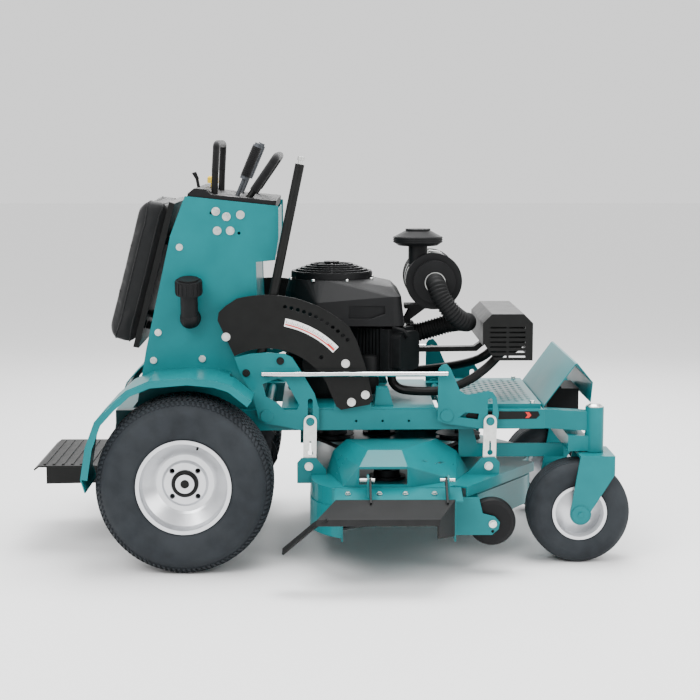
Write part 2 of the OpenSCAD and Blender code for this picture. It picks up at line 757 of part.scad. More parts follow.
module drive_rim() {
    r = bead_r - seat;
    hw = 0.8 * tyre_w / 2 + 5;
    color("#c6c9cc") place() translate([0, -track_y, tyre_r]) rotate([90, 0, 0]) {
        difference() {
            rotate_extrude($fn = 96) polygon([[r + 4, hw + 4], [r + 4, hw], [r, hw], [r, -hw],
                [r + 4, -hw], [r + 4, -hw - 4], [r - 8, -hw - 4], [r - 8, 60], [r - 18, 56],
                [102, 30], [94, 26], [72, 26], [64, 34], [38, 34], [38, 39], [66, 39], [74, 31],
                [91, 31], [98, 36], [r - 14, 64], [r - 8, 76], [r - 8, hw + 4]]);
            for (a = [45:90:315]) rotate([0, 0, a]) translate([lug_pcd / 2, 0, 0])
                cylinder(r = lug_r, h = 60);
        }
        // Hub on the axle
        difference() {
            union() {
                translate([0, 0, -60]) cylinder(r = 34, h = 76);
                translate([0, 0, 14]) cylinder(r = 36, h = 11.7);
                translate([0, 0, 25.7]) cylinder(r = 30, h = 24);
            }
            translate([0, 0, -61]) cylinder(r = axle_r + run, h = 112);
        }
        // Flange behind the wheel disc
        difference() {
            translate([0, 0, 14]) cylinder(r = 92, h = 11.7);
            translate([0, 0, 13]) cylinder(r = 36, h = 14);
            for (a = [45:90:315]) rotate([0, 0, a]) translate([lug_pcd / 2, 0, 0])
                cylinder(r = lug_r, h = 60);
        }
    }
}

module drive_tyre_right() drive_tyre();
module drive_rim_right() drive_rim();
module drive_tyre_left() opposite() drive_tyre();
module drive_rim_left() opposite() drive_rim();

// The left-hand copy of a part that is drawn on the right
module opposite() {
    translate([0, -2 * y_mid, 0]) mirror([0, 1, 0]) children();
}

leg_gap = 82;
leg_t = 8;

module caster_fork() {
    leg = concat([[caster_x - 2, fork_top], [swivel_x + 55, fork_top], [swivel_x + 55, 294]],
        arc([caster_x, caster_r], 34, 15, -195, 16));
    color("#138a92") place() {
        difference() {
            union() {
                side_plate(leg, -caster_y - leg_gap - leg_t, leg_t);
                side_plate(leg, -caster_y + leg_gap, leg_t);
                box([caster_x - 2, swivel_x + 55], [-caster_y - leg_gap, -caster_y + leg_gap],
                    [fork_top - 10, fork_top]);
            }
            y_bar(caster_x, caster_r, -caster_y - 200, -caster_y + 200, caster_axle_r);
        }
        translate([swivel_x, -caster_y, fork_top]) cylinder(r = stem_r, h = 142);
        translate([swivel_x, -caster_y, fork_top]) cylinder(r = 26, h = 1);
        // Axle with its spacers and end caps
        y_bar(caster_x, caster_r, -caster_y - leg_gap - leg_t - 8,
            -caster_y + leg_gap + leg_t + 8, caster_axle_r);
        for (s = [-1, 1]) translate([caster_x, -caster_y + s * (leg_gap + leg_t + 2), caster_r])
            rotate([90, 0, 0]) translate([0, 0, -2]) difference() {
                cylinder(r = 28, h = 4);
                translate([0, 0, -1]) cylinder(r = caster_axle_r, h = 6);
            }
        for (s = [-1, 1]) translate([caster_x, -caster_y + s * (leg_gap - 4.5), caster_r])
            rotate([90, 0, 0]) translate([0, 0, -4.5]) difference() {
                cylinder(r = 14, h = 9);
                translate([0, 0, -1]) cylinder(r = caster_axle_r, h = 11);
            }
    }
}

module caster_tyre() {
    color("#26292c") place() translate([caster_x, -caster_y, caster_r])
        tyre(caster_bead_r, caster_r, caster_w / 2, 9);
}

module caster_rim() {
    r = caster_bead_r - seat;
    hw = 0.8 * caster_w / 2 + 4;
    color("#c6c9cc") place() translate([caster_x, -caster_y, caster_r]) rotate([90, 0, 0])
        rotate_extrude($fn = 72) polygon([[r + 4, hw + 4], [r + 4, hw], [r, hw], [r, -hw],
            [r + 4, -hw], [r + 4, -hw - 4], [r - 6, -hw - 4], [r - 6, 10], [26, 22], [26, -72],
            [caster_axle_r + run, -72], [caster_axle_r + run, 72], [26, 72], [26, 30],
            [r - 6, 18], [r - 6, hw + 4]]);
}

module caster_fork_right() caster_fork();
module caster_tyre_right() caster_tyre();
module caster_rim_right() caster_rim();
module caster_fork_left() opposite() caster_fork();
module caster_tyre_left() opposite() caster_tyre();
module caster_rim_left() opposite() caster_rim();

// ---- deck ----------------------------------------------------------------

spindles = [[spindle_x, -spindle_y], [spindle_front_x, 0], [spindle_x, spindle_y]];
side_dir = unit(spindles[1] - spindles[0]);
side_out = [side_dir[1], -side_dir[0]];
chute_x = [491, 845];
strip_in = -575;
strip_low = deck_top - 24;

module deck_shell() {
    corner = spindles[0] + deck_r * side_out;
    nose = spindles[1] + deck_r * side_out;
    color("#138a92") place() {
        difference() {
            union() {
                translate([0, 0, deck_bottom])
                    linear_extrude(deck_h) polygon(rounded(spindles, deck_r, 24));
                translate([0, 0, deck_bottom])
                    linear_extrude(96) polygon(rounded(spindles, deck_r + 4, 24));
            }
            translate([0, 0, deck_bottom - 1])
                linear_extrude(deck_h - deck_t + 1) polygon(rounded(spindles, deck_r - deck_t, 24));
            // Discharge side, with room for the sloping strip
            box([chute_x[0] + 5, chute_x[1] - 5], [-800, -430], [0, deck_top - deck_t]);
            cross_plate([[strip_in, deck_top + 1], [strip_in, deck_top - deck_t - 1], [-720, 180],
                [-720, deck_top + 1]], chute_x[0] - 20, chute_x[1] - chute_x[0] + 40);
            for (s = spindles) translate([s[0], s[1], deck_top - 20]) cylinder(r = 42, h = 40);
        }
        // Sloping strip over the discharge, with an end wall on each side
        cross_plate([[strip_in + 5, deck_top - 1], [-660, strip_low], [-660, strip_low - deck_t],
            [strip_in + 5, deck_top - deck_t - 1]], chute_x[0] - 21, chute_x[1] - chute_x[0] + 42);
        for (x = [chute_x[0], chute_x[1] - 5])
            cross_plate([[-658, deck_bottom], [-560, deck_bottom], [-560, deck_top - 3],
                [strip_in, deck_top - 4], [-658, strip_low - 2]], x, 5);
        // Front flanges beside the nose
        both_sides() {
            translate([0, 0, deck_top - deck_t]) linear_extrude(deck_t)
                polygon([corner - 2 * side_out, corner + 46 * side_out, nose + 46 * side_out,
                    nose - 2 * side_out]);
            translate([0, 0, deck_top - 32]) linear_extrude(31)
                polygon([corner + 42 * side_out, corner + 46 * side_out, nose + 46 * side_out,
                    nose + 42 * side_out]);
        }
    }
}

roller_c = [966, 163];
roller_y = -530;
roller_w = 60;
roller_pin_r = 8;

module deck_brackets() {
    rear_pin = lift_x + link_arm - pin_shift;
    front_pin = lift_front_x + link_arm - pin_shift;
    rear_wall = spindle_x - deck_r - 0.5;
    color("#138a92") place() {
        both_sides() difference() {
            union() {
                side_plate([[rear_pin - 38, 252], [rear_wall, 252], [rear_wall, deck_top],
                    [rear_pin + 56, deck_top], [rear_pin + 56, 296], [rear_pin + 24, 334],
                    [rear_pin - 24, 334], [rear_pin - 38, 318]], -hanger_in - hanger_t, hanger_t);
                side_plate([[front_pin - 72, deck_top], [front_pin + 34, deck_top],
                    [front_pin + 36, 318], [front_pin + 20, 336], [front_pin - 24, 334]],
                    -hanger_in - hanger_t, hanger_t);
            }
            for (x = [rear_pin, front_pin])
                y_bar(x, link_pin_z, -hanger_in - hanger_t - 1, -hanger_in + 1, 7);
        }
        // Anti-scalp roller brackets on the deck's front corners
        both_sides() {
            for (ear = [[roller_y - 45, 846], [roller_y + 39, 890]]) difference() {
                y = ear[0];
                side_plate([[ear[1], 247.7], [922, 247.7], [934, 196], [972, 186], [988, 168],
                    [984, 146], [964, 128], [ear[1], 128]], y, 6);
                y_bar(roller_c[0], roller_c[1], y - 1, y + 7, roller_pin_r);
                y_bar(roller_c[0], roller_c[1] - 24, y - 1, y + 7, 5);
            }
            box([845 + seat, 851], [roller_y - 45, roller_y - 22], [134, 247.7]);
        }
        // Ears of the discharge hinge
        for (x = [571, 819]) difference() {
            cross_plate([[-648, 259.7], [-588, 276.7], [-598, 318], [-612, 329], [-628, 329],
                [-640, 318]], x, 6);
            x_bar(x - 1, x + 7, chute_pin[0], chute_pin[1], 6);
        }
    }
}

module deck_hardware() {
    rear_pin = lift_x + link_arm - pin_shift;
    front_pin = lift_front_x + link_arm - pin_shift;
    color("#c9ccc6") place() {
        both_sides() for (x = [rear_pin, front_pin]) {
            y_bar(x, link_pin_z, -hanger_in - hanger_t, -link_in + 3, 7);
            side_bolt(x, link_pin_z, -hanger_in - hanger_t, 11);
        }
        both_sides() {
            y_bar(roller_c[0], roller_c[1], roller_y - 45, roller_y + 45, roller_pin_r);
            side_bolt(roller_c[0], roller_c[1], roller_y - 45, 10);
        }
        for (x = [571, 819]) x_bar(x - 22, x + 24, chute_pin[0], chute_pin[1], 6);
        for (x = [512, 610, 690, 780]) translate([x, -618, deck_top - 12.1 + seat])
            rotate([15.8, 0, 0]) top_bolt(0, 0, 0, 7);
    }
}

cover_base = deck_top + seat;

module belt_cover() {
    base = [[446, -300], [500, -560], [534, -570], [710, -570], [858, -466], [912, -300]];
    difference() {
        hull() {
            translate([0, 0, cover_base]) linear_extrude(1) polygon(base);
            translate([0, 0, 345]) linear_extrude(1)
                polygon([[468, -300], [548, -576], [698, -576], [870, -300]]);
            translate([0, 0, 384]) linear_extrude(1)
                polygon([[513, -300], [577, -500], [683, -500], [805, -300]]);
        }
        hull() {
            translate([0, 0, cover_base - 1]) linear_extrude(1)
                polygon([[450, -299], [503, -556], [535, -566], [709, -566], [854, -463],
                    [908, -299]]);
            translate([0, 0, 343]) linear_extrude(1)
                polygon([[472, -299], [550, -572], [696, -572], [866, -299]]);
            translate([0, 0, 381]) linear_extrude(1)
                polygon([[516, -299], [579, -497], [681, -497], [802, -299]]);
        }
        // Open window below the front panel
        box([548, 698], [-620, -540], [cover_base + 8, 338]);
        // Cooling slots through both slopes
        for (i = [0:2]) for (j = [0:3]) {
            translate([745 + 34 * i + 10 * j, -470 + 30 * i, 300 + 15 * j])
                rotate([0, 0, 35]) box([-40, 40], [-3, 3], [-3, 3]);
            translate([500 + 14 * i + 4 * j, -440 + 45 * i, 300 + 15 * j])
                rotate([0, 0, -12]) box([-40, 40], [-3, 3], [-3, 3]);
        }
    }
}

module belt_covers() {
    color("#138a92") place() both_sides() belt_cover();
}

module spindle_housings() {
    color("#1a1c1e") place() for (s = spindles) translate([s[0], s[1], 0]) difference() {
        union() {
            translate([0, 0, deck_top]) cylinder(r = 60, h = 8);
            translate([0, 0, deck_top - 32]) cylinder(r = 41, h = 60);
            for (a = [45:90:315]) rotate([0, 0, a]) translate([50, 0, deck_top + 8])
                cylinder(r = 7, h = 6, $fn = 6);
        }
        cylinder(r = spindle_r + run, h = 400);
    }
}

module spindle() {
    difference() {
        union() {
            translate([0, 0, deck_bottom + 8]) cylinder(r = spindle_r, h = belt_z + 20 - deck_bottom);
            translate([0, 0, deck_bottom + 8]) cylinder(r = 24, h = 4);
            translate([0, 0, deck_bottom + 18]) cylinder(r = 30, h = 50);
        }
        cylinder(r = 4, h = deck_bottom + 20);
    }
    // Blade with turned-up trailing wings
    difference() {
        union() {
            box([-blade_r, blade_r], [-30, 30], [deck_bottom + 12, deck_bottom + 18]);
            box([-blade_r, -blade_r + 80], [18, 30], [deck_bottom + 18, deck_bottom + 34]);
            box([blade_r - 80, blade_r], [-30, -18], [deck_bottom + 18, deck_bottom + 34]);
        }
        cylinder(r = spindle_r, h = 400);
        // Trim the corners to the cutting circle
        difference() {
            translate([0, 0, deck_bottom]) cylinder(r = blade_r + 60, h = 60);
            translate([0, 0, deck_bottom - 1]) cylinder(r = blade_r, h = 62);
        }
    }
    // Pulley
    translate([0, 0, belt_z - pulley_h / 2]) pulley(spindle_r);
}

// Grooved pulley about a shaft of radius r, with its belt at pulley_r
module pulley(r) {
    g = pulley_r - seat;
    rotate_extrude($fn = 72) polygon([[r, 0], [g + 12, 0], [g + 12, 2.5], [g, 4.2],
        [g, pulley_h - 4.2], [g + 12, pulley_h - 2.5], [g + 12, pulley_h], [r, pulley_h]]);
}

module spindle_right() {
    color("#2b2e31") place() translate([spindles[0][0], spindles[0][1], 0])
        rotate([0, 0, 35]) spindle();
}

module spindle_centre() {
    color("#2b2e31") place() translate([spindles[1][0], spindles[1][1], 0])
        rotate([0, 0, 80]) spindle();
}

module spindle_left() {
    color("#2b2e31") place() translate([spindles[2][0], spindles[2][1], 0])
        rotate([0, 0, -35]) spindle();
}

clutch_c = [crank_x, 0];

module clutch_pulley() {
    color("#303337") place() translate([clutch_c[0], clutch_c[1], 0]) {
        translate([0, 0, belt_z + pulley_h / 2]) cylinder(r = 52, h = 62);
        translate([0, 0, belt_z - pulley_h / 2]) cylinder(r = 15, h = 190);
        translate([0, 0, belt_z - pulley_h / 2]) pulley(15);
    }
}

belt_t = 9;
belt_h = 9;

module deck_belt() {
    loop = concat([clutch_c], spindles);
    color("#1a1b1c") place() translate([0, 0, belt_z - belt_h / 2]) linear_extrude(belt_h)
        difference() {
            polygon(rounded(loop, pulley_r + belt_t, 16));
            polygon(rounded(loop, pulley_r, 16));
        }
}

module chute_deflector() {
    color("#1b1c1d") place() {
        // Sloping top that flares towards its outer lip
        intersection() {
            cross_plate(sheet([[-672, 262], [-796, 228], [chute_edge, 212]], 6), 410, 432);
            linear_extrude(400) polygon([[474, -671], [474, -672], [412, chute_edge - 1],
                [783, chute_edge - 1], [841, -672], [841, -671]]);
        }
        // Front wall, set back towards its outer end
        intersection() {
            cross_plate([[-674, 258], [-793, 225], [chute_edge + 3, 210], [chute_edge + 3, 170],
                [-674, 148]], 770, 80);
            linear_extrude(400) polygon([[840, -673], [834, -673], [776, chute_edge], [782, chute_edge]]);
        }
        // Tail that turns down behind the discharge
        side_plate(sheet([[446, 232], [404, 204], [312, 126]], 6), chute_edge + 4, 70);
        // Arms up to the hinge pins
        for (x = [578, 812]) difference() {
            cross_plate([[-700, 252], [-676, 259], [-608, 303], [-608, 321],
                [-630, 321], [-706, 260]], x, 6);
            x_bar(x - 1, x + 7, chute_pin[0], chute_pin[1], 6 + run);
        }
    }
}

module roller() {
    rotate([90, 0, 0]) rotate_extrude($fn = 72) polygon([[roller_pin_r + run, -roller_w / 2],
        [60, -roller_w / 2], [71, -roller_w / 2 + 5], [75, -roller_w / 2 + 16],
        [75, roller_w / 2 - 16], [71, roller_w / 2 - 5], [60, roller_w / 2],
        [roller_pin_r + run, roller_w / 2]]);
}

module roller_right() {
    color("#1c1e20") place() translate([roller_c[0], roller_y, roller_c[1]]) roller();
}

module roller_left() {
    opposite() roller_right();
}

// ---- deck lift -----------------------------------------------------------

module crank_plate(outline, windows, x0) {
    difference() {
        side_plate([for (p = outline) p + [x0, lift_z]], -crank_out, crank_t);
        for (w = windows) side_plate([for (p = w) p + [x0, lift_z]], -crank_out - 1, crank_t + 2);
        y_bar(x0 - rod_lean, lift_z + rod_arm, -crank_out - 1, -crank_in + 1, rod_r + run);
        y_bar(x0, lift_z, -crank_out - 1, -crank_in + 1, lift_shaft_r);
        y_bar(x0 + link_arm, link_top_z, -crank_out - 1, -crank_in + 1, 7);
        // Float slot above the link bolt
        side_plate([for (p = [[-8, 14], [8, 14], [8, 66], [-8, 66]])
            p + [x0 + link_arm, link_top_z]], -crank_out - 1, crank_t + 2);
        y_bar(x0 + link_arm, link_top_z + 66, -crank_out - 1, -crank_in + 1, 8);
    }
}

// Cross shaft, its collars and the link bolts
module crank_shaft(x0) {
    y_bar(x0, lift_z, -crank_out, crank_out, lift_shaft_r);
    both_sides() {
        y_bar(x0, lift_z, -crank_out - 5, -crank_out, 20);
        difference() {
            y_bar(x0, lift_z, -crank_in, -rail_out - seat, 22);
            y_bar(x0, lift_z, -crank_in - 1, -rail_out, lift_shaft_r);
        }
        y_bar(x0 + link_arm, link_top_z, -link_in - link_t - 1, -crank_in, 7);
        side_bolt(x0 + link_arm, link_top_z, -link_in - link_t - 1, 11);
    }
}

rear_outline = [[-103, 190], [-56, 202], [0, 206], [58, 202], [82, 190], [109, 148], [154, 72],
    [168, 24], [168, -40], [150, -50], [104, -46], [40, -32], [-6, -26], [-28, -8], [-38, 36],
    [-53, 84], [-82, 130]];
rear_window = [[-14, 104], [-2, 62], [36, 40], [57, 18], [98, 20], [104, 36], [62, 112],
    [36, 122]];
front_outline = [[-30, -16], [-8, -26], [48, -34], [110, -44], [162, -42], [168, 6], [160, 58],
    [148, 76], [132, 80], [94, 72], [62, 68], [42, 80], [26, 116], [12, 152], [-2, 168],
    [-18, 164], [-28, 150]];

module lift_cranks_rear() {
    color("#138a92") place() {
        both_sides() crank_plate(rear_outline, [rear_window], lift_x);
        crank_shaft(lift_x);
    }
}

module lift_cranks_front() {
    color("#138a92") place() {
        both_sides() crank_plate(front_outline, [[[40, -6], [100, -14], [104, 6], [60, 10]]],
            lift_front_x);
        crank_shaft(lift_front_x);
    }
}

lever_y = -crank_in + 16.3;
lever_foot = [228, 632];
lever_top = [363, 1278];
lever_lean = atan2(lever_top[0] - lever_foot[0], lever_top[1] - lever_foot[1]);
lever_len = norm(lever_top - lever_foot);

module lift_lever() {
    color("#121315") place() {
        translate([lever_foot[0], lever_y, lever_foot[1]]) rotate([0, lever_lean, 0])
            difference() {
                translate([0, 0, -30]) cylinder(r = 15, h = lever_len + 30);
                translate([0, 0, lever_len - 60]) cylinder(r = 7 + run, h = 80);
            }
        // Bolt heads on the crank plate and the tie plate behind it
        for (p = [[188, 610], [298, 649]]) side_bolt(p[0], p[1], -crank_out, 10);
        side_plate([[172, 598], [196, 592], [304, 632], [314, 654], [290, 666], [176, 626]],
            -crank_in, 6);
    }
}

module lever_button() {
    color("#c9ccc6") place() translate([lever_foot[0], lever_y, lever_foot[1]])
        rotate([0, lever_lean, 0]) {
            translate([0, 0, lever_len - 50]) cylinder(r = 7, h = 70);
            translate([0, 0, lever_len + 12]) cylinder(r = 11, h = 12);
        }
}

module lift_rods() {
    z = lift_z + rod_arm;
    color("#d4d6d8") place() both_sides() {
        x_bar(lift_x - rod_lean - rod_r, lift_front_x - rod_lean + rod_r, -rod_y, z, rod_r);
        for (x = [lift_x, lift_front_x])
            y_bar(x - rod_lean, z, -rod_y, -crank_in - 0.5, rod_r);
    }
}

// Deck link: a strap with a key slot and an open lower hole
module link(x0) {
    hw = 21;
    strap = concat(arc([x0, link_top_z], hw, 0, 180, 16),
        arc([x0 - pin_shift / 2, link_pin_z], hw - pin_shift / 2 + 3, 180, 360, 16));
    difference() {
        side_plate(strap, -link_in - link_t, link_t);
        y_bar(x0, link_top_z, -link_in - link_t - 1, -link_in + 1, 7 + run);
        y_bar(x0 - pin_shift, link_pin_z, -link_in - link_t - 1, -link_in + 1, 15);
        y_bar(x0, link_top_z - 102, -link_in - link_t - 1, -link_in + 1, 9);
        side_plate([for (p = [[-3, -102], [3, -102], [3, -64], [-3, -64]])
            p + [x0, link_top_z]], -link_in - link_t - 1, link_t + 2);
    }
}

module lift_links_rear() {
    color("#b9bda6") place() both_sides() link(lift_x + link_arm);
}

module lift_links_front() {
    color("#b9bda6") place() both_sides() link(lift_front_x + link_arm);
}

// ---- platform and controls -----------------------------------------------

module platform() {
    hw = platform_w / 2;
    x1 = -258;
    color("#17181a") place() {
        // Tread plate with its rear lip turned down
        side_plate(sheet([[x1, 288], [platform_tip + 16, 288], [platform_tip, 276]], 5), -hw,
            platform_w);
        // Side channels and the pins that they turn on
        both_sides() {
            side_plate([[-478, 282.7], [x1, 282.7], [-214, 268], [-214, 244], [-250, 232],
                [-478, 228]], -hw, 8);
            y_bar(platform_pivot[0], platform_pivot[1], -284, -hw, 8);
        }
        // Cross bars under the plate
        for (x = [-470, -300]) box([x, x + 30], [-hw + 8, hw - 8], [240, 282.7]);
        // Grip ribs
        for (x = [-490:30:-280]) box([x, x + 8], [-hw + 20, hw - 20], [288, 291]);
    }
}

lever_pivot = [138, 1118];
throttle_pivot = [25, 1195];

module control_lever(y) {
    color("#5d6268") place() {
        bent_bar([[141, y, 1131], [150, y, 1164], [168, y, 1206], [184, y, 1244]], 7,
            [0, 1, 0]);
        bent_bar([[176, y, 1226], [222, y, 1336]], 15, [0, 1, 0]);
        bent_bar([[221, y, 1334], [225, y, 1343]], 11, [0, 1, 0]);
        difference() {
            y_bar(lever_pivot[0], lever_pivot[1], y - 12, y + 12, 15);
            y_bar(lever_pivot[0], lever_pivot[1], y - 13, y + 13, 6 + run);
        }
    }
}

module control_lever_right() control_lever(-150);
module control_lever_left() control_lever(150);

module throttle_lever() {
    color("#1a1b1d") place() {
        side_plate([[20, 1195], [30, 1195], [24, 1226], [14, 1226]], -115, 6);
        y_bar(throttle_pivot[0], throttle_pivot[1], -115, -109, 5);
        side_plate([[14, 1226], [26, 1226], [16, 1250], [2, 1246]], -120, 16);
    }
}

module pto_knob() {
    color("#e8c81e") place() {
        translate([64, 0, 1170]) cylinder(r = 8, h = 40);
        translate([64, 0, 1210]) cylinder(r = 19, h = 18);
        translate([64, 0, 1228]) cylinder(r1 = 19, r2 = 14, h = 5);
    }
}

// ---- assembly ------------------------------------------------------------

frame_rails();
frame_crossmembers();
caster_arms();
tower_sides();
tower_panels();
console();
fenders();
hip_pad();
fuel_tank();
fuel_cap();
engine_block();
engine_cowl();
fan_guard();
air_cleaner();
precleaner();
intake_hose();
exhaust();
muffler_guard();
battery();
front_cover();
foot_plate();
reference_bars();
height_selector();
transaxles();
chassis_bolts();
drive_tyre_right();
drive_rim_right();
drive_tyre_left();
drive_rim_left();
caster_fork_right();
caster_fork_left();
caster_tyre_right();
caster_rim_right();
caster_tyre_left();
caster_rim_left();
deck_shell();
deck_brackets();
deck_hardware();
belt_covers();
spindle_housings();
chute_deflector();
roller_right();
roller_left();
spindle_right();
spindle_centre();
spindle_left();
clutch_pulley();
deck_belt();
lift_cranks_rear();
lift_lever();
lever_button();
lift_cranks_front();
lift_rods();
lift_links_rear();
lift_links_front();
platform();
control_lever_right();
control_lever_left();
throttle_lever();
pto_knob();
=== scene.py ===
import json
import math

import bmesh
import bpy
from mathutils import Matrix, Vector
from mathutils.bvhtree import BVHTree


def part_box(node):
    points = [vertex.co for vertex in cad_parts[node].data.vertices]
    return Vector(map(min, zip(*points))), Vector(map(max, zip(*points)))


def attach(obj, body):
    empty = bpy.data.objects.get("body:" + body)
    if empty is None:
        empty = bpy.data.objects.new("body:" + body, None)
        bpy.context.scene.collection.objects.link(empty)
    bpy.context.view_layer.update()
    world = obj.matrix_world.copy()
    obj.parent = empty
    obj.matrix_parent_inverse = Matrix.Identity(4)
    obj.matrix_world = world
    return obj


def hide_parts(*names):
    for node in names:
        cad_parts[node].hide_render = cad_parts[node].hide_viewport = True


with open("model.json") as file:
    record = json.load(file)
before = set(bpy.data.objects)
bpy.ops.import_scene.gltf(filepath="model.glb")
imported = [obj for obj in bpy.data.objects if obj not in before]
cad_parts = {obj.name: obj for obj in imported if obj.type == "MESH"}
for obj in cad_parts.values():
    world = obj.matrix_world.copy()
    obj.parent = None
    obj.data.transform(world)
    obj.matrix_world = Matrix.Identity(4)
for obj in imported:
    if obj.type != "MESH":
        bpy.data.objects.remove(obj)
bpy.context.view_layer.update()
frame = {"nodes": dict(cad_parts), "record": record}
nodes = frame["nodes"]


def D(x, y, z):
    """A point measured in mm from the drive axle, in the shared frame."""
    return Vector(((x - 452) / 1000, (y + 72) / 1000, z / 1000))


# ---- materials ------------------------------------------------------------


def surface(name, col, rough=0.4, metal=0.0, coat=0.0, scale=30, vary=0.08, rvary=0.08,
            bump=0.1, grain=900, edge=0.0, round_mm=1.2, stretch=(1, 1, 1), dust=None, sheen=0.0):
    m = bpy.data.materials.new(name)
    m.use_nodes = True
    t = m.node_tree
    new, link = t.nodes.new, t.links.new
    b = t.nodes["Principled BSDF"]
    b.inputs["Metallic"].default_value = metal
    b.inputs["Coat Weight"].default_value = coat
    b.inputs["Coat Roughness"].default_value = 0.12
    b.inputs["Coat IOR"].default_value = 1.25
    b.inputs["Specular IOR Level"].default_value = 0.5 if metal > 0.5 else 0.15
    b.inputs["Sheen Weight"].default_value = sheen
    tc = new("ShaderNodeTexCoord")
    mp = new("ShaderNodeMapping")
    mp.inputs["Scale"].default_value = stretch
    link(tc.outputs["Object"], mp.inputs["Vector"])
    n = new("ShaderNodeTexNoise")
    n.inputs["Scale"].default_value = scale
    n.inputs["Detail"].default_value = 6
    link(mp.outputs["Vector"], n.inputs["Vector"])
    ramp = new("ShaderNodeValToRGB")
    ramp.color_ramp.elements[0].position = 0.3
    ramp.color_ramp.elements[1].position = 0.7
    ramp.color_ramp.elements[0].color = [c * (1 - vary) for c in col] + [1]
    ramp.color_ramp.elements[1].color = [min(1, c * (1 + vary)) for c in col] + [1]
    link(n.outputs["Fac"], ramp.inputs["Fac"])
    out = ramp.outputs["Color"]
    if dust:
        big = new("ShaderNodeTexNoise")
        big.inputs["Scale"].default_value = 7
        big.inputs["Detail"].default_value = 8
        link(tc.outputs["Object"], big.inputs["Vector"])
        dr = new("ShaderNodeValToRGB")
        dr.color_ramp.elements[0].position = 0.45
        dr.color_ramp.elements[1].position = 0.8
        link(big.outputs["Fac"], dr.inputs["Fac"])
        mx = new("ShaderNodeMix")
        mx.data_type = "RGBA"
        link(dr.outputs["Color"], mx.inputs["Factor"])
        link(out, mx.inputs["A"])
        mx.inputs["B"].default_value = list(dust) + [1]
        out = mx.outputs["Result"]
    g = new("ShaderNodeTexNoise")
    g.inputs["Scale"].default_value = grain
    g.inputs["Detail"].default_value = 3
    link(mp.outputs["Vector"], g.inputs["Vector"])
    bp = new("ShaderNodeBump")
    bp.inputs["Strength"].default_value = bump
    bp.inputs["Distance"].default_value = 0.0006
    link(g.outputs["Fac"], bp.inputs["Height"])
    if round_mm:
        bv = new("ShaderNodeBevel")
        bv.samples = 4
        bv.inputs["Radius"].default_value = round_mm / 1000
        link(bv.outputs["Normal"], bp.inputs["Normal"])
        if edge:
            geo = new("ShaderNodeNewGeometry")
            dot = new("ShaderNodeVectorMath")
            dot.operation = "DOT_PRODUCT"
            link(bv.outputs["Normal"], dot.inputs[0])
            link(geo.outputs["Normal"], dot.inputs[1])
            er = new("ShaderNodeMapRange")
            er.inputs["From Min"].default_value = 0.995
            er.inputs["From Max"].default_value = 0.85
            er.inputs["To Max"].default_value = edge
            link(dot.outputs["Value"], er.inputs["Value"])
            wm = new("ShaderNodeMath")
            wm.operation = "MULTIPLY"
            link(er.outputs["Result"], wm.inputs[0])
            link(n.outputs["Fac"], wm.inputs[1])
            ex = new("ShaderNodeMix")
            ex.data_type = "RGBA"
            link(wm.outputs["Value"], ex.inputs["Factor"])
            link(out, ex.inputs["A"])
            ex.inputs["B"].default_value = [min(1, c * 1.7 + 0.1) for c in col] + [1]
            out = ex.outputs["Result"]
    link(out, b.inputs["Base Color"])
    link(bp.outputs["Normal"], b.inputs["Normal"])
    rr = new("ShaderNodeMapRange")
    rr.inputs["To Min"].default_value = max(0.02, rough - rvary)
    rr.inputs["To Max"].default_value = min(1, rough + rvary)
    link(n.outputs["Fac"], rr.inputs["Value"])
    link(rr.outputs["Result"], b.inputs["Roughness"])
    return m


TEAL = surface("teal_paint", (0.0025, 0.135, 0.148), rough=0.36, coat=0.2, scale=12, vary=0.07,
               rvary=0.06, bump=0.05, grain=700, edge=0.5)
BLACK = surface("black_powder_coat", (0.0045, 0.0047, 0.0045), rough=0.46, coat=0.1, scale=25,
                vary=0.2, bump=0.25, grain=1400, edge=0.25)
PLASTIC = surface("moulded_plastic", (0.005, 0.0052, 0.0057), rough=0.52, scale=20, vary=0.15,
                  rvary=0.06, bump=0.35, grain=1500, edge=0.12)
ENGINE = surface("engine_casting", (0.008, 0.0085, 0.009), rough=0.5, metal=0.3, scale=35,
                 vary=0.25, rvary=0.1, bump=0.5, grain=500, edge=0.3)
RUBBER = surface("black_rubber", (0.005, 0.0052, 0.0055), rough=0.6, vary=0.18, rvary=0.06,
                 bump=0.3, grain=800)
FLAP = surface("chute_rubber", (0.009, 0.0093, 0.0095), rough=0.5, scale=22, vary=0.2, bump=0.3,
               grain=500, edge=0.2)
TYRE = surface("tyre_rubber", (0.017, 0.02, 0.0235), rough=0.66, scale=22, vary=0.22, rvary=0.06,
               bump=0.35, grain=420, round_mm=0, dust=(0.027, 0.031, 0.035))
SILVER = surface("wheel_silver", (0.62, 0.63, 0.65), rough=0.3, metal=0.85, coat=0.3, scale=18,
                 vary=0.06, rvary=0.07, bump=0.08, edge=0.15, round_mm=0.8)
ZINC = surface("zinc_plate", (0.66, 0.67, 0.65), rough=0.3, metal=1.0, scale=60, vary=0.14,
               rvary=0.1, bump=0.12, grain=500, round_mm=0.6)
CHROME = surface("bright_rod", (0.74, 0.75, 0.76), rough=0.2, metal=1.0, scale=50, vary=0.06,
                 rvary=0.06, bump=0.05, grain=700, round_mm=0.5, stretch=(1, 8, 8))
DARK = surface("dark_steel", (0.03, 0.032, 0.034), rough=0.42, metal=0.8, scale=40, vary=0.25,
               rvary=0.1, bump=0.2, grain=500, edge=0.2)
HOUSING = surface("cast_housing", (0.025, 0.027, 0.03), rough=0.5, metal=0.5, vary=0.2, rvary=0.1,
                  bump=0.5, grain=350, edge=0.2)
LEVER = surface("lever_grey", (0.065, 0.07, 0.078), rough=0.48, metal=0.2, vary=0.15, bump=0.2,
                grain=700, edge=0.1)
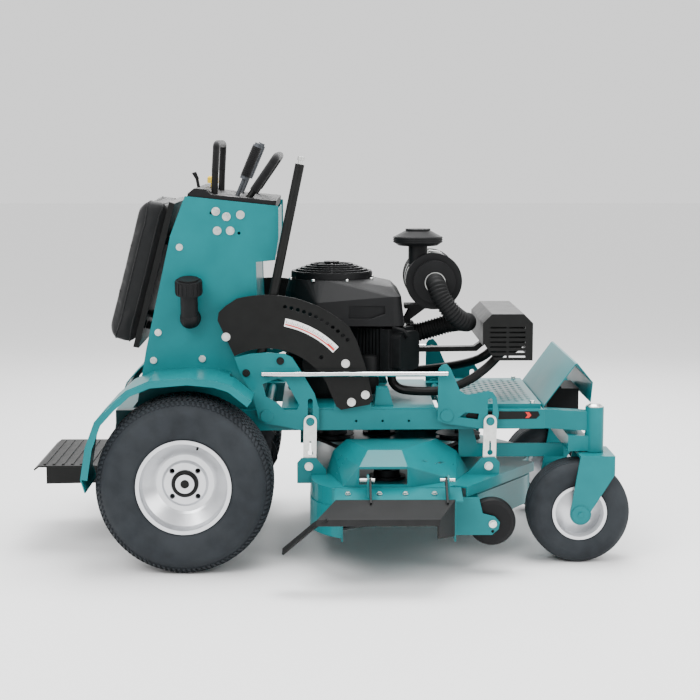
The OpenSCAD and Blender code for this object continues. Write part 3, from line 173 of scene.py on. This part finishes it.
FOAM = surface("foam_grip", (0.005, 0.005, 0.0055), rough=0.85, scale=60, vary=0.3, rvary=0.05,
               bump=0.8, grain=650, round_mm=0, sheen=0.2)
YELLOW = surface("knob_yellow", (0.75, 0.5, 0.02), rough=0.35, coat=0.2, scale=20, vary=0.06,
                 rvary=0.05)
WHITE = surface("dial_white", (0.78, 0.78, 0.76), coat=0.1, scale=40, vary=0.04, rvary=0.05,
                bump=0.05, round_mm=0)
RED = surface("dial_red", (0.62, 0.03, 0.025), coat=0.1, scale=40, vary=0.06, rvary=0.05,
              bump=0.05, round_mm=0)
VINYL = surface("pad_vinyl", (0.005, 0.0053, 0.0058), rough=0.5, scale=45, vary=0.2, rvary=0.07,
                bump=0.7, grain=520, round_mm=0, sheen=0.15)

FINISH = {
    "teal_paint": TEAL, "black_paint": BLACK, "engine_black": ENGINE, "black_plastic": PLASTIC,
    "rubber": RUBBER, "tyre": TYRE, "wheel_silver": SILVER, "zinc": ZINC, "dark_steel": DARK,
    "housing": HOUSING, "knob_yellow": YELLOW, "lever_grey": LEVER,
}
SLOT = {s["node"]: s["material_slot"] for s in frame["record"]["subparts"]}
for name, o in nodes.items():
    m = FINISH[SLOT[name]]
    if name == "chute_deflector":
        m = FLAP
    if name == "lift_rods":
        m = CHROME
    if name == "spindle_housings":
        m = HOUSING
    if len(o.material_slots) == 0:
        o.data.materials.append(m)
    for s in o.material_slots:
        s.material = m


# ---- mesh helpers ---------------------------------------------------------


def piece(name, verts, faces, mat, body, slot, smooth=True, replaces=()):
    me = bpy.data.meshes.new(name)
    me.from_pydata([tuple(v) for v in verts], [], faces)
    me.validate()
    bm = bmesh.new()
    bm.from_mesh(me)
    bmesh.ops.recalc_face_normals(bm, faces=bm.faces)
    bm.to_mesh(me)
    bm.free()
    o = bpy.data.objects.new(name, me)
    bpy.context.scene.collection.objects.link(o)
    me.materials.append(mat)
    for p in me.polygons:
        p.use_smooth = smooth
    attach(o, body)
    if replaces:
        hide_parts(*replaces)
    return o


def auto_smooth(o, deg=35):
    m = o.modifiers.new("edges", "EDGE_SPLIT")
    m.split_angle = math.radians(deg)
    return o


def lathe(profile, n, centre, axis="Y", closed=True):
    """Rings about an axis: profile is (radius, along) in mm."""
    vs, fs = [], []
    k = len(profile)
    for i in range(n):
        a = 2 * math.pi * i / n
        for r, h in profile:
            c, s = r * math.cos(a) / 1000, r * math.sin(a) / 1000
            p = {"Y": (c, h / 1000, s), "Z": (c, s, h / 1000), "X": (h / 1000, c, s)}[axis]
            vs.append(centre + Vector(p))
    for i in range(n):
        j = (i + 1) % n
        for q in range(k if closed else k - 1):
            w = (q + 1) % k
            fs.append((i * k + q, i * k + w, j * k + w, j * k + q))
    return vs, fs


def catmull(p, n):
    out = []
    for i in range(len(p) - 1):
        a, b, c, d = p[max(i - 1, 0)], p[i], p[i + 1], p[min(i + 2, len(p) - 1)]
        for k in range(n):
            t = k / n
            out.append([0.5 * (2 * bb + (cc - aa) * t + (2 * aa - 5 * bb + 4 * cc - dd) * t * t
                               + (3 * bb - aa - 3 * cc + dd) * t ** 3)
                        for aa, bb, cc, dd in zip(a, b, c, d)])
    out.append(list(p[-1]))
    return out


def tube(path, radius, n=16, cap=True):
    """A round tube along points in metres. The radius is a number or a function of the run."""
    pts = [Vector(p) for p in path]
    vs, fs = [], []
    up = Vector((0, 0, 1))
    d0 = (pts[1] - pts[0]).normalized()
    if abs(d0.dot(up)) > 0.9:
        up = Vector((0, 1, 0))
    side = d0.cross(up).normalized()
    run = [0.0]
    for i in range(1, len(pts)):
        run.append(run[-1] + (pts[i] - pts[i - 1]).length)
    for i, p in enumerate(pts):
        d = (pts[min(i + 1, len(pts) - 1)] - pts[max(i - 1, 0)]).normalized()
        side = (side - d * side.dot(d)).normalized()
        w = d.cross(side)
        r = radius(run[i]) if callable(radius) else radius
        for k in range(n):
            a = 2 * math.pi * k / n
            vs.append(p + side * (r * math.cos(a)) + w * (r * math.sin(a)))
    for i in range(len(pts) - 1):
        for k in range(n):
            m = (k + 1) % n
            fs.append((i * n + k, (i + 1) * n + k, (i + 1) * n + m, i * n + m))
    if cap:
        fs.append(tuple(range(n)))
        fs.append(tuple(range((len(pts) - 1) * n, len(pts) * n)))
    return vs, fs


def join(parts):
    vs, fs = [], []
    for v, f in parts:
        k = len(vs)
        vs += v
        fs += [tuple(i + k for i in q) for q in f]
    return vs, fs


def prism(outline, y0, y1, bevel=1.0):
    """Outline in X and Z (mm), from y0 to y1, with a small chamfer on its outer side y0."""
    n = len(outline)
    cx = sum(p[0] for p in outline) / n
    cz = sum(p[1] for p in outline) / n
    s = 1 if y1 > y0 else -1
    rings = [(y1, 0), (y0 + s * bevel, 0), (y0, bevel)]
    vs, fs = [], []
    for y, inset in rings:
        for x, z in outline:
            d = math.hypot(x - cx, z - cz) or 1
            f = 1 - inset / d
            vs.append(D(cx + (x - cx) * f, y, cz + (z - cz) * f))
    for q in range(2):
        for i in range(n):
            j = (i + 1) % n
            fs.append((q * n + i, q * n + j, (q + 1) * n + j, (q + 1) * n + i))
    fs.append(tuple(range(n)))
    fs.append(tuple(range(2 * n, 3 * n)))
    return vs, fs


# ---- tyres ----------------------------------------------------------------

# Half a tyre's section, as (share of its height, share of its half width)
SECTION = [(0, 0.8), (0.17, 0.93), (0.45, 1), (0.7, 0.965), (0.87, 0.83), (0.975, 0.65),
           (1, 0.33), (1.0, 0.0)]
DRIVE_BEAD, DRIVE_R, DRIVE_HALF = 146, 279.5, 120.5
CASTER_BEAD, CASTER_R, CASTER_HALF = 84, 165, 76
DRIVE_Y, CASTER_X, CASTER_Y = 465, 1259, 365
TREAD_COUNT, TREAD_H = 104, 5.0


def tyre_profile(r0, r1, hw, drop):
    """Outer section from one bead over the crown to the other, with the crown drop mm lower."""
    half = [(r0 + s * (r1 - r0 - drop * min(1, max(0, (s - 0.6) / 0.3))), w * hw)
            for s, w in SECTION]
    half = catmull(half, 6)
    full = half + [(r, -h) for r, h in half[-2::-1]]
    return full


def ridge(p, r_mid, amount, width):
    return [(r, h + math.copysign(amount * math.exp(-((r - r_mid) / width) ** 2), h)
             if abs(h) > 1 else h) for r, h in p]


def closed_section(p, r0, hw):
    return p + [(r0 + 0.5, -0.6 * hw), (r0 + 0.5, 0.6 * hw)]


def tread(p, rows, count, height, centre):
    """Blocks on the crown: rows are spans of arc length from the crown's middle, in mm."""
    s = [0.0]
    for a, b in zip(p, p[1:]):
        s.append(s[-1] + math.hypot(b[0] - a[0], b[1] - a[1]))
    mid = s[-1] / 2

    def at(v):
        v += mid
        i = max(j for j in range(len(s) - 1) if s[j] <= v)
        f = (v - s[i]) / (s[i + 1] - s[i])
        r = p[i][0] + f * (p[i + 1][0] - p[i][0])
        h = p[i][1] + f * (p[i + 1][1] - p[i][1])
        tr, th = p[i + 1][0] - p[i][0], p[i + 1][1] - p[i][1]
        q = math.hypot(tr, th)
        return r, h, -th / q, tr / q

    vs, fs = [], []
    for ri, (s0, s1, share, lean) in enumerate(rows):
        for k in range(count):
            a0 = 2 * math.pi * (k + 0.5 * (ri % 2)) / count
            da = 2 * math.pi / count * share
            base = len(vs)
            for up, inset in ((-1.5, 0), (height * 0.75, 0), (height, 0.14)):
                m = (s0 + s1) / 2
                hs = (s1 - s0) / 2 * (1 - inset)
                ha = da / 2 * (1 - inset)
                for sv, sa in ((-1, -1), (1, -1), (1, 1), (-1, 1)):
                    r, h, nr, nh = at(m + sv * hs)
                    a = a0 + sa * ha + lean * sv * da
                    r += nr * up
                    corner = Vector((r * math.cos(a), h + nh * up, r * math.sin(a)))
                    vs.append(centre + corner / 1000)
            for q in (0, 4):
                for i in range(4):
                    j = (i + 1) % 4
                    fs.append((base + q + i, base + q + j, base + q + 4 + j, base + q + 4 + i))
            fs.append((base + 8, base + 9, base + 10, base + 11))
    return vs, fs


def drive_tyre(side, y):
    c = D(0, y, DRIVE_R)
    p = tyre_profile(DRIVE_BEAD, DRIVE_R, DRIVE_HALF, TREAD_H)
    p = ridge(ridge(ridge(p, 158, 1.6, 3), 205, 0.9, 2.0), 216, 0.9, 2.0)
    rows = [(-104, -88, 0.55, -0.3), (-84, -70, 0.6, 0.25), (-66, -52, 0.62, -0.25),
            (-48, -34, 0.62, 0.25), (-30, -16, 0.62, -0.25), (-12, 12, 0.6, 0.0),
            (16, 30, 0.62, -0.25), (34, 48, 0.62, 0.25), (52, 66, 0.62, -0.25),
            (70, 84, 0.6, 0.25), (88, 104, 0.55, -0.3)]
    carcass = lathe(closed_section(p, DRIVE_BEAD, DRIVE_HALF), 160, c)
    piece(f"drive_tyre_carcass_{side}", *carcass, TYRE, f"wheel_{side}", "tyre",
          replaces=(f"drive_tyre_{side}",))
    blocks = tread(p, rows, TREAD_COUNT, TREAD_H, c)
    auto_smooth(piece(f"drive_tyre_tread_{side}", *blocks, TYRE, f"wheel_{side}", "tyre",
                      smooth=False))
    # Black hub with its nut, and the valve stem
    out = 1 if y > 0 else -1
    hub = lathe([(0.2, out * 47), (15, out * 47), (17, out * 45), (24, out * 45),
                 (30.4, out * 43), (34, out * 50), (40, out * 49), (43, out * 45),
                 (43, out * 31.4), (0.2, out * 31.4)], 64, c)
    auto_smooth(piece(f"wheel_hub_cap_{side}", *hub, BLACK, f"wheel_{side}", "dark_steel"), 30)
    a = math.radians(70)
    stem_r = 128
    stem = tube([D(stem_r * math.cos(a), y + out * 62, DRIVE_R + stem_r * math.sin(a)),
                 D((stem_r - 3) * math.cos(a), y + out * 84,
                   DRIVE_R + (stem_r - 3) * math.sin(a))],
                lambda t: 0.0045 if t < 0.012 else 0.0034, 10)
    piece(f"valve_stem_{side}", *stem, RUBBER, f"wheel_{side}", "tyre")


def caster_tyre(side, y):
    c = D(CASTER_X, y, CASTER_R)
    p = tyre_profile(CASTER_BEAD, CASTER_R, CASTER_HALF, 0)
    # Grooves round the crown
    crown = [(r, h) for r, h in p if not (r > 150 and abs(h) < 52)]
    cut = next(i for i, q in enumerate(crown) if q[1] < 0)
    rib = []
    for g in (44, 22, 0, -22, -44):
        top = CASTER_R - (abs(g) / 50) ** 2 * 3.2
        rib += [(top, g + 3.4), (top - 3.4, g + 1.9), (top - 3.4, g - 1.9), (top, g - 3.4)]
    p = crown[:cut] + rib + crown[cut:]
    p = ridge(ridge(p, 93, 1.2, 2.5), 128, 0.9, 2)
    section = closed_section(p, CASTER_BEAD, CASTER_HALF)
    o = piece(f"caster_tyre_carcass_{side}", *lathe(section, 128, c), TYRE, f"caster_{side}",
              "tyre", replaces=(f"caster_tyre_{side}",))
    auto_smooth(o, 30)


for side, s in (("right", -1), ("left", 1)):
    drive_tyre(side, s * DRIVE_Y)
    caster_tyre(side, s * CASTER_Y)

# ---- hip pad --------------------------------------------------------------

# The pad's section in X and Z (mm): rear top, rear foot, board foot, board top
PAD = [(-146, 1168), (-267, 706), (-187, 682), (-62, 1160)]
PAD_SWELL = 0.012  # most that the pressure may move the cover, in metres
PAD_PROUD = 0.004  # most that the cover may stand out of the CAD pad, in metres


def pad_point(u, v, y):
    """u runs up the pad, v runs through it from its rear face to its board."""
    a, b, c, d = (Vector(PAD[1]), Vector(PAD[0]), Vector(PAD[3]), Vector(PAD[2]))
    q = (a * (1 - u) + b * u) * (1 - v) + (d * (1 - u) + c * u) * v
    return D(q.x, y, q.y)


def apply_all(o):
    dg = bpy.context.evaluated_depsgraph_get()
    me = bpy.data.meshes.new_from_object(o.evaluated_get(dg))
    old = o.data
    o.modifiers.clear()
    o.data = me
    if not me.materials:
        me.materials.append(old.materials[0])


def make_pad():
    nu, ny = 12, 12
    vs, fs = [], []
    for v in (0.05, 0.97):
        for i in range(nu + 1):
            for j in range(ny + 1):
                u, w = i / nu * 2 - 1, j / ny * 2 - 1
                vs.append(pad_point(0.5 + 0.5 * u * 0.985, v, w * 245))
    k = (nu + 1) * (ny + 1)
    for layer in range(2):
        for i in range(nu):
            for j in range(ny):
                a = layer * k + i * (ny + 1) + j
                fs.append((a, a + 1, a + ny + 2, a + ny + 1))
    for i in range(nu):
        for j in (0, ny):
            a = i * (ny + 1) + j
            fs.append((a, a + ny + 1, k + a + ny + 1, k + a))
    for j in range(ny):
        for i in (0, nu):
            a = i * (ny + 1) + j
            fs.append((a, a + 1, k + a + 1, k + a))
    pad = piece("hip_cushion", vs, fs, VINYL, "chassis", "rubber", replaces=("hip_pad",))
    bv = pad.modifiers.new("round", "BEVEL")
    bv.width = 0.022
    bv.segments = 4
    bv.limit_method = "ANGLE"
    bv.angle_limit = math.radians(50)
    rm = pad.modifiers.new("remesh", "REMESH")
    rm.mode = "VOXEL"
    rm.voxel_size = 0.006
    bpy.context.view_layer.objects.active = pad
    apply_all(pad)
    rest = [v.co.copy() for v in pad.data.vertices]
    cl = pad.modifiers.new("Cloth", "CLOTH")
    st = cl.settings
    st.quality = 5
    st.mass = 0.3
    st.tension_stiffness = 15
    st.compression_stiffness = 15
    st.bending_stiffness = 2
    st.use_pressure = True
    st.uniform_pressure_force = 4
    st.effector_weights.gravity = 0
    scene = bpy.context.scene
    for f in range(1, 21):
        scene.frame_set(f)
    dg = bpy.context.evaluated_depsgraph_get()
    moved = [v.co.copy() for v in pad.evaluated_get(dg).data.vertices]
    pad.modifiers.clear()
    for v, a, b in zip(pad.data.vertices, rest, moved):
        d = b - a
        if d.length > PAD_SWELL:
            d = d.normalized() * PAD_SWELL
        v.co = a + d
    scene.frame_set(1)
    lows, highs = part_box("hip_pad")
    for v in pad.data.vertices:
        v.co.x = max(v.co.x, lows[0] - PAD_PROUD)
        v.co.y = min(max(v.co.y, lows[1] - PAD_PROUD), highs[1] + PAD_PROUD)
    sm = pad.modifiers.new("smooth", "SMOOTH")
    sm.factor = 0.5
    sm.iterations = 3
    sb = pad.modifiers.new("sub", "SUBSURF")
    sb.levels = sb.render_levels = 1
    apply_all(pad)
    for p in pad.data.polygons:
        p.use_smooth = True
    tree = BVHTree.FromPolygons([v.co for v in pad.data.vertices],
                                [p.vertices for p in pad.data.polygons])
    # Piped seams round the rear and the board side, and two sewn channels across the rear face
    loops = []
    for v, inset in ((0.2, 0.02), (0.86, 0.012)):
        loop = []
        for i in range(96):
            a = 2 * math.pi * i / 96
            cu = math.copysign(abs(math.cos(a)) ** 0.25, math.cos(a))
            cw = math.copysign(abs(math.sin(a)) ** 0.25, math.sin(a))
            q = pad_point(0.5 + 0.5 * cu * 1.05, v, cw * 256)
            hit = tree.find_nearest(q)
            loop.append(hit[0] + hit[1] * 0.0006)
        loops.append(loop + loop[:1])
    seams = [tube(catmull([tuple(q) for q in lp], 2), 0.0026, 8, False) for lp in loops]
    piece("hip_cushion_piping", *join(seams), VINYL, "chassis", "rubber")
    rows = []
    for u in (0.34, 0.66):
        pts = []
        for j in range(41):
            q = pad_point(u, -0.2, -228 + 456 * j / 40)
            hit = tree.find_nearest(q)
            pts.append(hit[0] + hit[1] * 0.0001)
        rows.append(tube(pts, lambda t: 0.0011 + 0.0004 * math.cos(t * 900), 6))
    piece("hip_cushion_seams", *join(rows), RUBBER, "chassis", "rubber")
    board = [(-62.7, 1156), (-186.7, 682), (-168, 678), (-44, 1150)]
    piece("hip_pad_board", *prism(board, -244, 244, 2), BLACK, "chassis", "black_paint",
          smooth=False)
    mounts = []
    for y in (-170, 140):
        mounts.append(prism([(-145, 760), (-152, 735), (-127, 730), (-122, 753)], y, y + 30, 2))
        mounts.append(prism([(-72, 1040), (-80, 1010), (-66, 1006), (-59, 1036)], y, y + 30, 2))
    piece("hip_pad_mounts", *join(mounts), RUBBER, "chassis", "rubber", smooth=False)


make_pad()

# ---- engine ---------------------------------------------------------------


def ring(c, r0, r1, h0, h1, axis, n=64):
    return lathe([(r0, h0), (r1, h0), (r1, h1), (r0, h1)], n, c, axis)


def hose():
    path = [[808, -150.3, 884], [808, -166, 884], [812, -188, 874], [826, -205, 838],
            [862, -207, 788], [896, -185, 760], [916, -130, 750], [908, -60, 744],
            [876, -14, 736], [820, 0, 718], [760, 0, 702], [700, 0, 700], [690.3, 0, 700]]
    pts = [D(*p) for p in catmull(path, 14)]
    # Even steps along the hose
    step = 0.002
    run, out, want = 0.0, [pts[0]], step
    for a, b in zip(pts, pts[1:]):
        seg = (b - a).length
        while seg > 0 and run + seg >= want:
            f = (want - run) / seg
            out.append(a + (b - a) * f)
            want += step
        run += seg
    bellows = tube(out, lambda t: 0.0302 + 0.0024 * math.cos(t * 2 * math.pi / 0.0105), 32)
    piece("intake_hose_bellows", *bellows, RUBBER, "chassis", "rubber",
          replaces=("intake_hose",))
    bands = [ring(D(808, -156, 884), 30.5, 34.5, -6, 6, "Y"),
             ring(D(712, 0, 700), 30.5, 34.5, -6, 6, "X")]
    auto_smooth(piece("hose_clamps", *join(bands), ZINC, "chassis", "zinc"))


hose()

canister = D(806, 0, 886)
ribs = [lathe([(89.5, y - 3), (92.5, y - 1.6), (92.5, y + 1.6), (89.5, y + 3)], 96, canister, "Y")
        for y in (-92, -78, -10, 4, 70, 84, 150)]
ribs.append(lathe([(60, 170), (84, 170), (80, 176), (58, 178), (20, 178), (18, 170)], 96,
                  canister, "Y"))
auto_smooth(piece("air_cleaner_ribs", *join(ribs), PLASTIC, "chassis", "black_plastic"))
bands = [ring(canister, 90.1, 91.6, y - 7, y + 7, "Y", 96) for y in (-40, 40)]
for y in (-40, 40):
    bands.append(join([tube([D(806 - 8, y - 8, 978), D(806 + 30, y - 8, 974)], 0.003, 8),
                       tube([D(806 - 8, y + 8, 978), D(806 + 30, y + 8, 974)], 0.003, 8)]))
auto_smooth(piece("air_cleaner_bands", *join(bands), ZINC, "chassis", "zinc"))
pre = [lathe([(80.5, z), (84, z + 1.5), (84, z + 3.5), (80.5, z + 5)], 72, D(755, -56, 0), "Z")
       for z in (1013, 1019.5, 1026)]
auto_smooth(piece("precleaner_ribs", *join(pre), PLASTIC, "chassis", "black_plastic"))

# Cowl screws
screws = []
for a in range(20, 380, 45):
    c = D(465 + 147 * math.cos(math.radians(a)), 147 * math.sin(math.radians(a)), 0)
    screws.append(lathe([(0.2, 887), (6.5, 887), (6.5, 892.5), (5, 894), (0.2, 894)], 16, c, "Z"))
auto_smooth(piece("cowl_screws", *join(screws), ZINC, "chassis", "zinc"))

bits = []
# Starter motor, plug leads and breather pipes
bits.append(lathe([(0.2, 520), (28, 520), (30, 524), (30, 640), (26, 646), (14, 650),
                   (0.2, 650)], 40, D(590, -190, 0), "Z"))
for s in (-1, 1):
    bits.append(tube([D(700, s * 205, 700), D(716, s * 232, 716), D(700, s * 238, 734),
                      D(664, s * 226, 742)], 0.006, 10))
    lead = [[500, s * 150, 596], [505, s * 176, 640], [500, s * 190, 700], [498, s * 186, 742]]
    bits.append(tube([D(*q) for q in catmull(lead, 6)], 0.007, 10))
piece("engine_plumbing", *join(bits), RUBBER, "chassis", "rubber")
fins = []
for z in range(600, 730, 13):
    fins.append(lathe([(150, z), (158, z + 1), (158, z + 4), (150, z + 5)], 96, D(465, 0, 0), "Z"))
auto_smooth(piece("crankcase_fins", *join(fins), ENGINE, "chassis", "engine_black"))

# ---- height dial ----------------------------------------------------------

DIAL_X, DIAL_Z, DIAL_Y = 254, 470, -350
TICK_FROM, TICK_STEP, TICK_HALF = 12, 1.1, 0.12


def arc_band(r0, r1, a0, a1, y, n=40, t=0.3):
    vs, fs = [], []
    for i in range(n + 1):
        a = math.radians(a0 + (a1 - a0) * i / n)
        for yy in (y, y - t):
            for r in (r0, r1):
                vs.append(D(DIAL_X + r * math.sin(a), yy, DIAL_Z + r * math.cos(a)))
    for i in range(n):
        b = i * 4
        for q in ((0, 1, 5, 4), (2, 3, 7, 6), (0, 2, 6, 4), (1, 3, 7, 5)):
            fs.append(tuple(b + k for k in q))
    fs.append((0, 1, 3, 2))
    fs.append((n * 4, n * 4 + 1, n * 4 + 3, n * 4 + 2))
    return vs, fs


piece("dial_face", *arc_band(296, 322, 11, 46, DIAL_Y), WHITE, "chassis", "wheel_silver",
      smooth=False)
red = [arc_band(301, 305, 11.5, 45.5, -350.3), arc_band(305, 308, 40, 45.5, -350.3)]
piece("dial_line", *join(red), RED, "chassis", "wheel_silver", smooth=False)
ticks = [arc_band(307, 312 if i % 3 else 317, TICK_FROM + TICK_STEP * i - TICK_HALF,
                  TICK_FROM + TICK_STEP * i + TICK_HALF, -350.3, 2) for i in range(31)]
piece("dial_ticks", *join(ticks), BLACK, "chassis", "black_paint", smooth=False)

# ---- trim -----------------------------------------------------------------

# Foam sleeves on the reference bars
front = [[210, -214, 1190], [232, -215, 1222], [268, -213, 1274], [284, -190, 1298], [286, 0, 1300],
         [284, 190, 1298], [268, 213, 1274], [232, 215, 1222], [210, 214, 1190]]
piece("front_bar_foam", *tube([D(*q) for q in catmull(front, 10)], 0.0135, 20), FOAM,
      "chassis", "rubber")
rear = [[84, -190, 1250], [88, -188, 1318], [89, -168, 1340], [89, 0, 1342], [89, 168, 1340],
        [88, 188, 1318], [84, 190, 1250]]
piece("rear_bar_foam", *tube([D(*q) for q in catmull(rear, 10)], 0.0115, 20), FOAM,
      "chassis", "rubber")
# Grip ridges on the control levers
for side, y in (("right", -150), ("left", 150)):
    a, b = D(180, y, 1236), D(220, y, 1331)
    n = 90
    pts = [a + (b - a) * (i / n) for i in range(n + 1)]
    grip = tube(pts, lambda t: 0.0158 + 0.0007 * math.cos(t * 2 * math.pi / 0.0065), 24)
    piece(f"lever_grip_{side}", *grip, FOAM if side == "right" else LEVER, f"lever_{side}",
          "lever_grey")
# Accent strip on each rail
for side, s in (("right", -1), ("left", 1)):
    outline = [(905, 452), (1128, 455), (1140, 467), (1134, 480), (912, 480), (898, 466)]
    if s > 0:
        outline = outline[::-1]
    piece(f"rail_strip_{side}", *prism(outline, s * 330.5, s * 330.02, 0.2), BLACK, "chassis",
          "black_paint", smooth=False)
    red = [(1092, 458), (1104, 458), (1112, 467), (1104, 477), (1092, 477), (1100, 467)]
    if s > 0:
        red = red[::-1]
    piece(f"rail_mark_{side}", *prism(red, s * 330.9, s * 330.5, 0.2), RED, "chassis",
          "black_paint", smooth=False)

# ---- stage ----------------------------------------------------------------

me = bpy.data.meshes.new("floor")
me.from_pydata([(-30, -30, 0), (30, -30, 0), (30, 30, 0), (-30, 30, 0)], [], [(0, 1, 2, 3)])
floor = bpy.data.objects.new("floor", me)
bpy.context.scene.collection.objects.link(floor)
fm = bpy.data.materials.new("floor")
fm.use_nodes = True
fb = fm.node_tree.nodes["Principled BSDF"]
fb.inputs["Base Color"].default_value = (0.92, 0.92, 0.92, 1)
fb.inputs["Roughness"].default_value = 0.6
fb.inputs["Specular IOR Level"].default_value = 0.2
me.materials.append(fm)

world = bpy.data.worlds.new("studio")
bpy.context.scene.world = world
world.use_nodes = True
world.node_tree.nodes["Background"].inputs["Color"].default_value = (1, 1, 1, 1)
world.node_tree.nodes["Background"].inputs["Strength"].default_value = 1.25


def area(name, loc, target, size, power):
    li = bpy.data.lights.new(name, "AREA")
    li.shape = "RECTANGLE"
    li.size, li.size_y = size
    li.energy = power
    o = bpy.data.objects.new(name, li)
    o.location = loc
    o.rotation_euler = (Vector(target) - Vector(loc)).to_track_quat("-Z", "Y").to_euler()
    bpy.context.scene.collection.objects.link(o)


area("key", (-2.2, -3.4, 3.6), (0, 0, 0.5), (2.6, 2.6), 190)
area("fill", (3.2, -2.6, 2.2), (0, 0, 0.5), (2.2, 2.2), 80)
area("top", (0.3, 0.4, 4.2), (0, 0, 0.3), (3.0, 2.4), 260)
area("back", (0.5, 3.8, 2.6), (0, 0, 0.6), (3.0, 2.0), 90)

cam_data = bpy.data.cameras.new("camera")
cam_data.lens = 87.0
cam_data.sensor_width = 36
cam = bpy.data.objects.new("camera", cam_data)
cam.location = (-0.006, -5.678, 1.3604)
cam.rotation_euler = (math.radians(82.86), 0, math.radians(-0.81))
bpy.context.scene.collection.objects.link(cam)
bpy.context.scene.camera = cam
